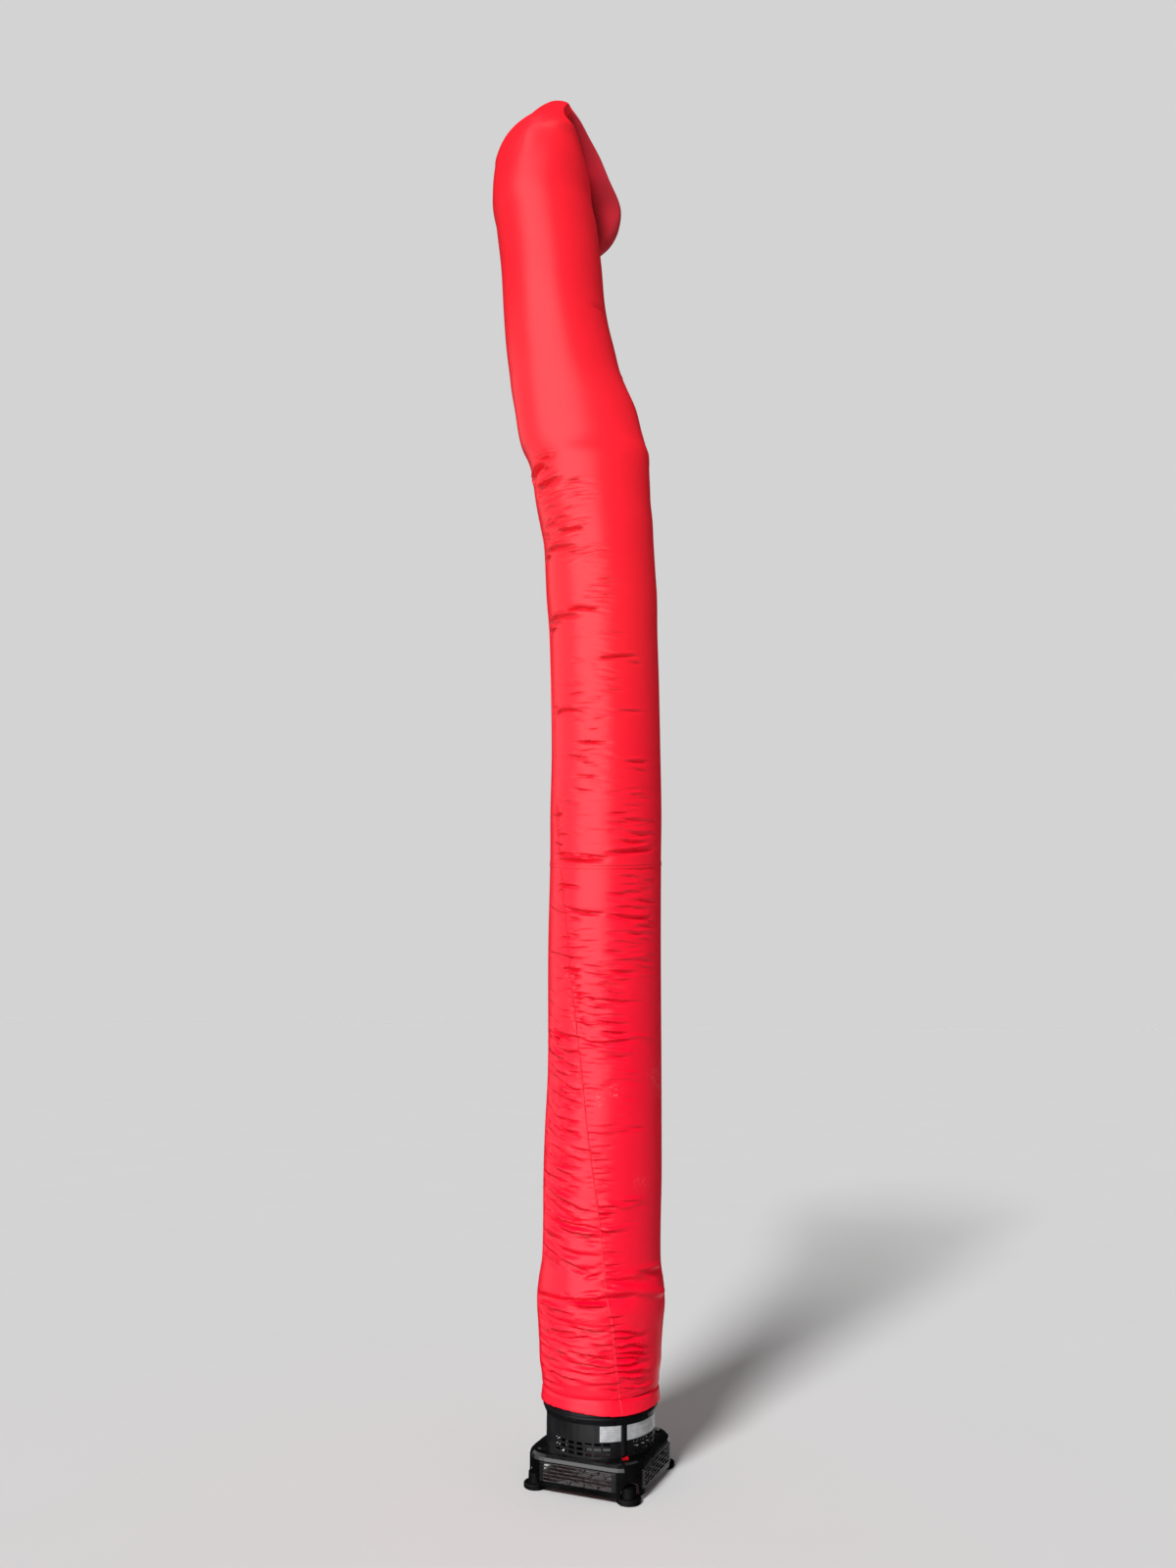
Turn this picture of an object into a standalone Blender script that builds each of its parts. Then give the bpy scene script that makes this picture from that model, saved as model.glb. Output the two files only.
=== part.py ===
"""Inflatable air dancer: a red nylon tube on a square fan blower.

The tube is strapped over the blower's round collar, stands up, bends at an elbow and is folded
over near its tip, whose closed end hangs down behind. Metres, +Z up. The object stands on Z = 0
and its bounding box is centred on the Z axis. The blower's front looks along -Y.
"""
from math import atan2, cos, exp, hypot, pi, radians, sin, sqrt

import bmesh
import bpy
from mathutils import Matrix, Vector

OBJECT_NAME = "air_dancer"
GAP = 0.0003                       # clearance between pieces that touch
MERGE_DISTANCE = 0.00001
EDGE_PROFILE = 0.5                 # round bevels

# Base housing: a rounded square shell, open underneath
HOUSING_HALF = 0.154
HOUSING_CORNER_RADIUS = 0.064
HOUSING_CORNER_STEPS = 6
HOUSING_BOTTOM = 0.0126
HOUSING_TOP = 0.088
HOUSING_EDGE_RADIUS = 0.016
HOUSING_EDGE_STEPS = 3
HOUSING_WALL = 0.003
AIR_HOLE_RADIUS = 0.128
BOSS_PLACE = 0.114                 # X and Y distance of the corner bosses from the axis
BOSS_RADIUS = 0.013
BOSS_HEIGHT = 0.0025

# Feet, one under each corner, and the arched pocket over each
FOOT_PLACE = 0.126
FOOT_RADIUS = 0.031
FOOT_POST_RADIUS = 0.0190
FOOT_POST_TOP = 0.0380
FOOT_CHAMFER = 0.002
SMALL_ROUND_STEPS = 20
POCKET_RADIUS = 0.0265
POCKET_TOP = 0.048

# Slotted grille in each of the four sides
GRILLE_WIDTH = 0.206
GRILLE_BOTTOM = 0.026
GRILLE_HEIGHT = 0.0435
GRILLE_THICKNESS = 0.0045
GRILLE_PROUD = 0.0012
SLOT_ROWS = 5
SLOT_ROW_PITCH = 0.0082
SLOT_HEIGHT = 0.0050
SLOT_LENGTH = 0.0325
SLOT_PITCH = 0.0375
SLOT_REACH = 4                     # slots on either side of the middle one, before trimming
GRILLE_RIM = 0.004

# Drum: the round fan housing, with a band of vents over each grille
DRUM_RADIUS = 0.141
DRUM_WALL = 0.003
DRUM_BOTTOM = HOUSING_TOP + GAP
DRUM_TOP = 0.1665
ROUND_STEPS = 48
VENT_ROWS = 3
VENT_FIRST_HEIGHT = 0.097
VENT_ROW_PITCH = 0.0118
VENT_SLOT_HEIGHT = 0.0068
VENTS_PER_ROW = 7
VENT_HALF_SPAN = radians(33)
VENT_FILL = 0.78                   # slot length as a share of its pitch

# Collar: the flared air outlet that the tube is strapped over
COLLAR_BOTTOM = DRUM_TOP + GAP
COLLAR_TOP = 0.256
LIP_RADIUS = 0.150
LIP_HEIGHT = 0.180
SLEEVE_RADIUS = 0.1472
BEAD_RADIUS = 0.1481
BEAD_HEIGHT = 0.246
BEAD_HALF = 0.004
BEAD_SLOPE = 0.006
COLLAR_RIM_CHAMFER = 0.0015
COLLAR_FOOT_FLARE = 0.0033
LIP_TOP = 0.184
SLEEVE_FOOT = 0.186
COLLAR_INSIDE_RADIUS = 0.139

# Cable duct down the drum to the rocker switch, on the front right diagonal
SWITCH_BEARING = radians(-45)
SWITCH_DISTANCE = 0.1580
DUCT_WIDTH = 0.009
DUCT_PROUD = 0.0065
DUCT_BOTTOM = 0.0945
DUCT_TOP = 0.1655
DUCT_EDGE_RADIUS = 0.0015
DUCT_EDGE_STEPS = 2
BEZEL_LENGTH = 0.0240
BEZEL_WIDTH = 0.0160
BEZEL_HEIGHT = 0.0020
SWITCH_BODY_LENGTH = 0.0194
SWITCH_BODY_WIDTH = 0.0128
SWITCH_BODY_DEPTH = 0.0150
SWITCH_HOLE_MARGIN = 0.0006
ROCKER_POCKET_LENGTH = 0.0174
ROCKER_POCKET_WIDTH = 0.0106
ROCKER_POCKET_DEPTH = 0.0100
ROCKER_WIDTH = 0.0100
ROCKER_HALF_LENGTH = 0.0076
ROCKER_RISE = 0.0050
ROCKER_VALLEY = 0.0030
ROCKER_FOOT_HALF = 0.0040
ROCKER_FOOT_DROP = 0.0060
ROCKER_PIVOT_HEIGHT = 0.0895
ROCKER_REST_TILT = radians(8)

# Plated screw on the rear right boss
SCREW_WASHER_RADIUS = 0.0078
SCREW_WASHER_HEIGHT = 0.0014
SCREW_HEAD_RADIUS = 0.0048
SCREW_HEAD_HEIGHT = 0.0042
SCREW_RECESS_RADIUS = 0.0020
SCREW_RECESS_DEPTH = 0.0022
SCREW_CHAMFER = 0.001
SCREW_STEPS = 16

# Cloth tube
CLOTH = 0.0018                     # thickness of the cloth
RING_POINTS = 24
TUBE_RADIUS = 0.1575               # the tube's girth over two pi
HEM_BOTTOM = 0.188
HEM_HEIGHT = 0.036
HEM_PROUD = 0.0012
PANEL_SEAM = 1.600                 # height of the seam between the two panels
SWAY_BEARING = radians(22.3)       # the tube sways in a vertical plane turned this far from +X
TIP_TURN = radians(45)             # the tip folds over this far round from the sway

# Lower panel: height, sway of the axis, half width
LOWER_SECTIONS = (
    (0.188, 0.0000, 0.1516),
    (0.246, 0.0000, 0.1516),
    (0.286, -0.0005, 0.1573),
    (0.329, -0.0005, 0.1615),
    (0.370, 0.0000, 0.1645),
    (0.417, 0.0010, 0.1690),
    (0.446, 0.0010, 0.1692),
    (0.480, 0.0015, 0.1662),
    (0.505, 0.0015, 0.1623),
    (0.535, 0.0025, 0.1583),
    (0.617, 0.0040, 0.1577),
    (0.743, 0.0060, 0.1598),
    (0.870, 0.0085, 0.1587),
    (1.024, 0.0125, 0.1560),
    (1.344, 0.0130, 0.1575),
    (1.600, 0.0168, 0.1572),
)
# Upper panel up to the tip: height, sway of the axis, half width
UPPER_SECTIONS = (
    (1.600, 0.0168, 0.1572),
    (1.735, 0.0180, 0.1588),
    (1.915, 0.0190, 0.1568),
    (2.111, 0.0162, 0.1578),
    (2.268, 0.0128, 0.1584),
    (2.380, 0.0082, 0.1628),
    (2.450, 0.0045, 0.1628),
    (2.549, -0.0010, 0.1637),
    (2.611, -0.0080, 0.1686),
    (2.673, -0.0168, 0.1721),
    (2.736, -0.0220, 0.1755),
    (2.783, -0.0264, 0.1783),
    (2.825, -0.0334, 0.1851),
    (2.857, -0.0457, 0.1879),
    (2.901, -0.0569, 0.1876),
    (2.976, -0.0712, 0.1846),
    (3.040, -0.0900, 0.1770),
    (3.096, -0.1037, 0.1700),
    (3.175, -0.1176, 0.1661),
    (3.254, -0.1301, 0.1607),
    (3.335, -0.1388, 0.1576),
    (3.456, -0.1471, 0.1570),
    (3.580, -0.1610, 0.1575),
    (3.660, -0.1720, 0.1575),
)
# Rows of the cloth: from height, to height, number of steps
LOWER_ROWS = (
    (0.188, 0.224, 1), (0.224, 0.400, 6), (0.400, 0.540, 7), (0.540, 0.740, 6), (0.740, 1.060, 4),
    (1.060, 1.160, 3), (1.160, 1.420, 3), (1.420, 1.500, 3), (1.500, 1.600, 2),
)
UPPER_ROWS = (
    (1.600, 1.840, 3), (1.840, 1.930, 3), (1.930, 2.280, 3), (2.280, 2.380, 4), (2.380, 2.480, 2),
    (2.480, 2.900, 16), (2.900, 3.020, 2), (3.020, 3.660, 6),
)

# Tip: the tube thins to a fold line over its own axis, and its closed end lies down the back slope.
# Outer wall: place towards the fold and height. Inner wall: the same. Half width along the fold
# line, how pointed the ring's ends are, share of the droop
TIP_AXIS_SWAY = -0.178
TIP_SECTIONS = (
    (-0.1550, 3.700, 0.1535, 3.7000, 0.158, 0.00, 0.0),
    (-0.1500, 3.762, 0.1350, 3.7640, 0.160, 0.02, 0.2),
    (-0.1400, 3.830, 0.1050, 3.8250, 0.158, 0.05, 0.5),
    (-0.1200, 3.890, 0.0680, 3.8750, 0.152, 0.12, 0.8),
    (-0.0960, 3.936, 0.0330, 3.9100, 0.140, 0.24, 1.0),
    (-0.0720, 3.975, 0.0080, 3.9280, 0.127, 0.38, 1.0),
    (-0.0360, 3.999, 0.0110, 3.9325, 0.121, 0.50, 1.0),
    (0.0040, 4.004, 0.0150, 3.9335, 0.121, 0.50, 1.0),
    (0.0460, 3.986, 0.0190, 3.9315, 0.124, 0.38, 1.0),
    (0.0900, 3.950, 0.0400, 3.9155, 0.127, 0.26, 1.0),
    (0.1320, 3.905, 0.0770, 3.8785, 0.133, 0.16, 0.8),
    (0.1710, 3.850, 0.1115, 3.8290, 0.141, 0.08, 0.6),
    (0.2060, 3.782, 0.1420, 3.7680, 0.149, 0.04, 0.4),
    (0.2320, 3.705, 0.1615, 3.7000, 0.150, 0.00, 0.2),
    (0.2420, 3.645, 0.1680, 3.6400, 0.136, 0.00, 0.1),
    (0.2360, 3.604, 0.1760, 3.6000, 0.104, 0.00, 0.0),
    (0.2140, 3.584, 0.1930, 3.5830, 0.052, 0.00, 0.0),
)
CREST_SLOPE = -0.20                # rise of the fold line towards the back, per metre
CREST_CURVE = 0.80                 # droop of the fold line's two ends

# Main creases: height, bearing from the sway (degrees, -90 faces the viewer), half span
# (degrees), rise over the half span, half height, depth
CREASES = (
    (0.262, -140, 34, -0.020, 0.016, 0.0035),
    (0.300, -52, 30, 0.012, 0.016, 0.0040),
    (0.335, -125, 40, -0.016, 0.016, 0.0045),
    (0.352, 60, 50, 0.014, 0.018, 0.0045),
    (0.398, -128, 36, -0.014, 0.015, 0.0080),
    (0.402, 20, 60, 0.012, 0.016, 0.0060),
    (0.462, -106, 30, 0.008, 0.014, 0.0050),
    (0.470, 110, 55, -0.010, 0.016, 0.0055),
    (0.512, -122, 34, -0.018, 0.015, 0.0070),
    (0.590, -150, 28, -0.016, 0.020, 0.0050),
    (0.640, -128, 44, -0.016, 0.021, 0.0080),
    (0.655, 75, 48, 0.018, 0.022, 0.0060),
    (0.700, -138, 34, -0.024, 0.020, 0.0075),
    (1.110, -143, 32, -0.022, 0.022, 0.0085),
    (1.120, 40, 46, 0.018, 0.024, 0.0060),
    (1.462, -112, 52, -0.008, 0.020, 0.0075),
    (1.455, 95, 50, 0.012, 0.022, 0.0060),
    (1.884, -57, 30, 0.000, 0.020, 0.0060),
    (1.880, -128, 34, 0.004, 0.020, 0.0055),
    (1.890, 90, 48, -0.008, 0.022, 0.0055),
    (2.322, -136, 34, 0.008, 0.017, 0.0080),
    (2.348, 80, 50, -0.010, 0.020, 0.0060),
    (2.541, -140, 36, 0.010, 0.016, 0.0110),
    (2.600, -120, 30, 0.006, 0.015, 0.0080),
    (2.645, -168, 36, 0.016, 0.017, 0.0070),
    (2.700, -150, 34, 0.022, 0.016, 0.0075),
    (2.752, -144, 32, 0.026, 0.017, 0.0120),
    (2.796, -156, 34, 0.020, 0.017, 0.0140),
    (2.846, -176, 44, 0.014, 0.017, 0.0130),
    (2.640, 118, 50, -0.010, 0.020, 0.0060),
    (2.780, 130, 46, -0.014, 0.020, 0.0080),
)
SEAM_GROOVE_DEPTH = 0.0035
SEAM_GROOVE_HALF = 0.012
RIPPLE = 0.0012                    # slow unevenness of the inflated cloth
RIPPLE_WAVES = (9.0, 23.0)         # its waves, in radians per metre of height
RIPPLE_TURNS = (2, -3)             # its waves round the tube

# Materials: colour, roughness, metallic
RED_NYLON = ("red_nylon", (0.90, 0.030, 0.045), 0.55, 0.0)
BLACK_HOUSING = ("black_housing", (0.012, 0.012, 0.013), 0.28, 0.0)
BLACK_DRUM = ("black_drum", (0.016, 0.016, 0.018), 0.45, 0.0)
BLACK_FOOT = ("black_foot", (0.020, 0.020, 0.021), 0.60, 0.0)
RED_ROCKER = ("red_rocker", (0.75, 0.020, 0.030), 0.25, 0.0)
ZINC = ("zinc", (0.62, 0.66, 0.58), 0.30, 1.0)


def clear_scene():
    """Remove whatever the scene holds."""
    for item in list(bpy.data.objects):
        bpy.data.objects.remove(item, do_unlink=True)


def new_collection(name):
    """Make a collection in the scene."""
    collection = bpy.data.collections.new(name)
    bpy.context.scene.collection.children.link(collection)
    return collection


def plain_material(name, colour, roughness, metallic):
    """Make or find a Principled material."""
    material = bpy.data.materials.get(name)
    if material is None:
        material = bpy.data.materials.new(name)
        material.use_nodes = True
        shader = material.node_tree.nodes["Principled BSDF"]
        shader.inputs["Base Color"].default_value = (*colour, 1.0)
        shader.inputs["Roughness"].default_value = roughness
        shader.inputs["Metallic"].default_value = metallic
    return material


def add_mesh_object(name, mesh, collection, finish=None):
    """Put a mesh in a collection as an object, with its own material."""
    obj = bpy.data.objects.new(name, mesh)
    collection.objects.link(obj)
    if finish is not None:
        mesh.materials.append(plain_material(*finish))
    return obj


def mesh_from_bmesh(name, bm):
    """Turn a bmesh into a mesh and free it."""
    mesh = bpy.data.meshes.new(name)
    bm.to_mesh(mesh)
    bm.free()
    return mesh


def add_box(bm, size, centre, turn=0.0):
    """Add a box to a bmesh, turned about the Z axis after it is placed."""
    place = Matrix.Rotation(turn, 4, "Z") @ Matrix.Translation(centre) @ Matrix.Diagonal((*size, 1.0))
    bmesh.ops.create_cube(bm, size=1.0, matrix=place)


def cut(target, cutter, operation="DIFFERENCE"):
    """Add an exact Boolean to an object and hide its other shape."""
    boolean = target.modifiers.new(cutter.name, "BOOLEAN")
    boolean.object = cutter
    boolean.operation = operation
    boolean.solver = "EXACT"
    cutter.hide_render = True
    cutter.display_type = "WIRE"


def turned(name, profile, steps, collection, finish):
    """Turn a profile of (radius, height) points, outer side top to bottom, about the Z axis."""
    bm = bmesh.new()
    points = [bm.verts.new((radius, 0.0, height)) for radius, height in profile]
    for first, second in zip(points, points[1:]):
        bm.edges.new((first, second))
    if profile[0][0] > 0.0:
        bm.edges.new((points[-1], points[0]))
    obj = add_mesh_object(name, mesh_from_bmesh(name, bm), collection, finish)
    screw = obj.modifiers.new("turn", "SCREW")
    screw.axis = "Z"
    screw.steps = steps
    screw.render_steps = steps
    screw.use_merge_vertices = True
    screw.merge_threshold = MERGE_DISTANCE
    screw.use_smooth_shade = True
    return obj


def bevel_edges(bm, edges, offset, segments):
    """Round the given edges of a bmesh."""
    bmesh.ops.bevel(bm, geom=edges, offset=offset, segments=segments, profile=EDGE_PROFILE,
                    affect="EDGES", clamp_overlap=True)


def is_upright(edge):
    """Tell whether an edge runs along Z."""
    first, second = edge.verts
    return abs(first.co.z - second.co.z) > hypot(first.co.x - second.co.x, first.co.y - second.co.y)


def side_turns():
    """Turns about Z of the four sides: front, right, back and left."""
    return (("front", 0.0), ("right", pi / 2), ("back", pi), ("left", -pi / 2))


def corner_signs():
    """Names and signs of X and Y at the four corners."""
    return (("front_right", 1, -1), ("back_right", 1, 1), ("back_left", -1, 1), ("front_left", -1, -1))


def build_housing(parts, cutters):
    """Rounded square shell with windows, arched corner pockets, an air hole and a switch hole."""
    height = HOUSING_TOP - HOUSING_BOTTOM
    bm = bmesh.new()
    add_box(bm, (2 * HOUSING_HALF, 2 * HOUSING_HALF, height), (0, 0, HOUSING_BOTTOM + height / 2))
    bevel_edges(bm, [edge for edge in bm.edges if is_upright(edge)], HOUSING_CORNER_RADIUS,
                HOUSING_CORNER_STEPS)
    rim = [edge for edge in bm.edges if min(v.co.z for v in edge.verts) > HOUSING_TOP - GAP]
    bevel_edges(bm, rim, HOUSING_EDGE_RADIUS, HOUSING_EDGE_STEPS)
    floor = [face for face in bm.faces if max(v.co.z for v in face.verts) < HOUSING_BOTTOM + GAP]
    bmesh.ops.delete(bm, geom=floor, context="FACES_ONLY")
    housing = add_mesh_object("base_housing", mesh_from_bmesh("base_housing", bm), parts, BLACK_HOUSING)
    shell = housing.modifiers.new("wall", "SOLIDIFY")
    shell.thickness = HOUSING_WALL
    shell.offset = -1.0
    shell.use_even_offset = True

    bm = bmesh.new()
    for _, sx, sy in corner_signs():
        if (sx, sy) != (1, -1):
            place = Matrix.Translation((sx * BOSS_PLACE, sy * BOSS_PLACE, HOUSING_TOP))
            bmesh.ops.create_cone(bm, cap_ends=True, segments=SMALL_ROUND_STEPS,
                                  radius1=BOSS_RADIUS + BOSS_HEIGHT, radius2=BOSS_RADIUS - BOSS_HEIGHT,
                                  depth=2 * BOSS_HEIGHT, matrix=place)
    cut(housing, add_mesh_object("boss_shapes", mesh_from_bmesh("boss_shapes", bm), cutters), "UNION")

    bm = bmesh.new()
    window = (GRILLE_WIDTH, 4 * HOUSING_WALL, GRILLE_HEIGHT)
    for _, turn in side_turns():
        add_box(bm, window, (0, -HOUSING_HALF, GRILLE_BOTTOM + GRILLE_HEIGHT / 2), turn)
    cut(housing, add_mesh_object("window_shapes", mesh_from_bmesh("window_shapes", bm), cutters))

    bm = bmesh.new()
    straight = POCKET_TOP - POCKET_RADIUS
    for _, sx, sy in corner_signs():
        spot = Vector((sx * FOOT_PLACE, sy * FOOT_PLACE, 0.0))
        outward = Vector((sx, sy, 0.0)).normalized()
        axis_turn = Matrix.Rotation(atan2(outward.y, outward.x), 4, "Z") @ Matrix.Rotation(pi / 2, 4, "Y")
        place = Matrix.Translation(spot + Vector((0, 0, straight))) @ axis_turn
        bmesh.ops.create_cone(bm, cap_ends=True, segments=SMALL_ROUND_STEPS, radius1=POCKET_RADIUS,
                              radius2=POCKET_RADIUS, depth=4 * POCKET_RADIUS, matrix=place)
        lower = Matrix.Translation(spot + Vector((0, 0, straight / 2 - HOUSING_BOTTOM / 2)))
        lower = lower @ Matrix.Rotation(atan2(outward.y, outward.x), 4, "Z")
        box = Matrix.Diagonal((4 * POCKET_RADIUS, 2 * POCKET_RADIUS, straight + HOUSING_BOTTOM, 1.0))
        bmesh.ops.create_cube(bm, size=1.0, matrix=lower @ box)
    pocket = add_mesh_object("pocket_shapes", mesh_from_bmesh("pocket_shapes", bm), cutters)
    cut(housing, pocket)
    housing.modifiers[-1].use_self = True

    bm = bmesh.new()
    bmesh.ops.create_cone(bm, cap_ends=True, segments=ROUND_STEPS, radius1=AIR_HOLE_RADIUS,
                          radius2=AIR_HOLE_RADIUS, depth=6 * HOUSING_WALL,
                          matrix=Matrix.Translation((0, 0, HOUSING_TOP)))
    hole_size = (SWITCH_BODY_WIDTH + SWITCH_HOLE_MARGIN, SWITCH_BODY_LENGTH + SWITCH_HOLE_MARGIN,
                 6 * HOUSING_WALL)
    add_box(bm, hole_size, (SWITCH_DISTANCE, 0, HOUSING_TOP), SWITCH_BEARING)
    cut(housing, add_mesh_object("top_holes", mesh_from_bmesh("top_holes", bm), cutters))
    return housing


def build_grille(name, turn, parts, cutters):
    """Flat panel with rows of staggered slots, set in one of the housing's windows."""
    width = GRILLE_WIDTH - 2 * GAP
    height = GRILLE_HEIGHT - 2 * GAP
    middle = GRILLE_BOTTOM + GRILLE_HEIGHT / 2
    depth_place = -HOUSING_HALF - GRILLE_PROUD + GRILLE_THICKNESS / 2
    bm = bmesh.new()
    add_box(bm, (width, GRILLE_THICKNESS, height), (0, depth_place, middle), turn)
    grille = add_mesh_object(name, mesh_from_bmesh(name, bm), parts, BLACK_HOUSING)
    bm = bmesh.new()
    limit = width / 2 - GRILLE_RIM
    for row in range(SLOT_ROWS):
        slot_height = middle + (row - (SLOT_ROWS - 1) / 2) * SLOT_ROW_PITCH
        shift = SLOT_PITCH / 2 if row % 2 else 0.0
        for column in range(-SLOT_REACH, SLOT_REACH + 1):
            centre = column * SLOT_PITCH + shift
            start = max(centre - SLOT_LENGTH / 2, -limit)
            end = min(centre + SLOT_LENGTH / 2, limit)
            if end - start > SLOT_HEIGHT:
                add_box(bm, (end - start, 4 * GRILLE_THICKNESS, SLOT_HEIGHT),
                        ((start + end) / 2, depth_place, slot_height), turn)
    cut(grille, add_mesh_object(name + "_slots", mesh_from_bmesh(name + "_slots", bm), cutters))
    return grille


def build_drum(parts, cutters):
    """Round fan housing with three rows of vents over each side of the base."""
    inside = DRUM_RADIUS - DRUM_WALL
    profile = ((DRUM_RADIUS, DRUM_TOP), (DRUM_RADIUS, DRUM_BOTTOM), (inside, DRUM_BOTTOM), (inside, DRUM_TOP))
    drum = turned("drum", profile, ROUND_STEPS, parts, BLACK_DRUM)
    bm = bmesh.new()
    pitch = 2 * VENT_HALF_SPAN / VENTS_PER_ROW
    slot_length = pitch * DRUM_RADIUS * VENT_FILL
    for _, turn in side_turns():
        for row in range(VENT_ROWS):
            for index in range(VENTS_PER_ROW):
                bearing = turn - pi / 2 + (index - (VENTS_PER_ROW - 1) / 2) * pitch
                add_box(bm, (6 * DRUM_WALL, slot_length, VENT_SLOT_HEIGHT),
                        (DRUM_RADIUS - DRUM_WALL / 2, 0, VENT_FIRST_HEIGHT + row * VENT_ROW_PITCH), bearing)
    cut(drum, add_mesh_object("vent_shapes", mesh_from_bmesh("vent_shapes", bm), cutters))
    return drum


def build_collar(parts):
    """Flared outlet ring with the bead that holds the strapped cuff."""
    profile = (
        (BEAD_RADIUS - COLLAR_RIM_CHAMFER, COLLAR_TOP),
        (BEAD_RADIUS, BEAD_HEIGHT + BEAD_HALF),
        (BEAD_RADIUS, BEAD_HEIGHT - BEAD_HALF),
        (SLEEVE_RADIUS, BEAD_HEIGHT - BEAD_HALF - BEAD_SLOPE),
        (SLEEVE_RADIUS, SLEEVE_FOOT),
        (LIP_RADIUS, LIP_TOP),
        (LIP_RADIUS, LIP_HEIGHT),
        (DRUM_RADIUS + COLLAR_FOOT_FLARE, COLLAR_BOTTOM),
        (DRUM_RADIUS - DRUM_WALL, COLLAR_BOTTOM),
        (COLLAR_INSIDE_RADIUS, COLLAR_TOP),
    )
    return turned("collar", profile, ROUND_STEPS, parts, BLACK_DRUM)


def build_feet(parts):
    """Flanged foot with a short post, under each corner."""
    flange_top = HOUSING_BOTTOM - GAP
    profile = (
        (0.0, FOOT_POST_TOP),
        (FOOT_POST_RADIUS, FOOT_POST_TOP - FOOT_CHAMFER),
        (FOOT_POST_RADIUS, flange_top),
        (FOOT_RADIUS - FOOT_CHAMFER, flange_top),
        (FOOT_RADIUS, flange_top - FOOT_CHAMFER),
        (FOOT_RADIUS, FOOT_CHAMFER),
        (FOOT_RADIUS - FOOT_CHAMFER, 0.0),
        (0.0, 0.0),
    )
    feet = []
    for corner, sx, sy in corner_signs():
        foot = turned("foot_" + corner, profile, SMALL_ROUND_STEPS, parts, BLACK_FOOT)
        foot.location = (sx * FOOT_PLACE, sy * FOOT_PLACE, 0.0)
        feet.append(foot)
    return feet


def build_duct(parts):
    """Flat cable duct on the drum, above the switch."""
    bm = bmesh.new()
    inner = DRUM_RADIUS + GAP
    add_box(bm, (DUCT_PROUD, DUCT_WIDTH, DUCT_TOP - DUCT_BOTTOM),
            (inner + DUCT_PROUD / 2, 0, (DUCT_TOP + DUCT_BOTTOM) / 2), SWITCH_BEARING)
    outer = [edge for edge in bm.edges
             if is_upright(edge) and min(hypot(v.co.x, v.co.y) for v in edge.verts) > inner + DUCT_PROUD / 2]
    bevel_edges(bm, outer, DUCT_EDGE_RADIUS, DUCT_EDGE_STEPS)
    return add_mesh_object("cable_duct", mesh_from_bmesh("cable_duct", bm), parts, BLACK_DRUM)


def build_switch(parts, cutters):
    """Switch frame with its pocket, and the rocker with its origin on the pivot."""
    bm = bmesh.new()
    seat = HOUSING_TOP + GAP
    add_box(bm, (BEZEL_WIDTH, BEZEL_LENGTH, BEZEL_HEIGHT),
            (SWITCH_DISTANCE, 0, seat + BEZEL_HEIGHT / 2), SWITCH_BEARING)
    frame = add_mesh_object("switch_frame", mesh_from_bmesh("switch_frame", bm), parts, BLACK_FOOT)
    bm = bmesh.new()
    body_top = seat + BEZEL_HEIGHT / 2
    add_box(bm, (SWITCH_BODY_WIDTH, SWITCH_BODY_LENGTH, SWITCH_BODY_DEPTH),
            (SWITCH_DISTANCE, 0, body_top - SWITCH_BODY_DEPTH / 2), SWITCH_BEARING)
    cut(frame, add_mesh_object("switch_body", mesh_from_bmesh("switch_body", bm), cutters), "UNION")
    bm = bmesh.new()
    pocket_top = seat + 2 * BEZEL_HEIGHT
    add_box(bm, (ROCKER_POCKET_WIDTH, ROCKER_POCKET_LENGTH, ROCKER_POCKET_DEPTH),
            (SWITCH_DISTANCE, 0, pocket_top - ROCKER_POCKET_DEPTH / 2), SWITCH_BEARING)
    cut(frame, add_mesh_object("rocker_pocket", mesh_from_bmesh("rocker_pocket", bm), cutters))

    outline = (
        (-ROCKER_HALF_LENGTH, ROCKER_RISE), (-ROCKER_HALF_LENGTH, -ROCKER_VALLEY),
        (-ROCKER_FOOT_HALF, -ROCKER_FOOT_DROP), (ROCKER_FOOT_HALF, -ROCKER_FOOT_DROP),
        (ROCKER_HALF_LENGTH, -ROCKER_VALLEY), (ROCKER_HALF_LENGTH, ROCKER_RISE), (0.0, ROCKER_VALLEY),
    )
    bm = bmesh.new()
    tilt = Matrix.Rotation(ROCKER_REST_TILT, 3, "X")
    front = [bm.verts.new(tilt @ Vector((ROCKER_WIDTH / 2, along, up))) for along, up in outline]
    face = bm.faces.new(front)
    grown = bmesh.ops.extrude_face_region(bm, geom=[face])
    moved = [item for item in grown["geom"] if isinstance(item, bmesh.types.BMVert)]
    bmesh.ops.translate(bm, verts=moved, vec=(-ROCKER_WIDTH, 0, 0))
    bmesh.ops.recalc_face_normals(bm, faces=bm.faces)
    rocker = add_mesh_object("rocker", mesh_from_bmesh("rocker", bm), parts, RED_ROCKER)
    rocker.location = (SWITCH_DISTANCE * cos(SWITCH_BEARING), SWITCH_DISTANCE * sin(SWITCH_BEARING),
                       ROCKER_PIVOT_HEIGHT)
    rocker.rotation_euler = (0.0, 0.0, SWITCH_BEARING)
    return frame, rocker


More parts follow.
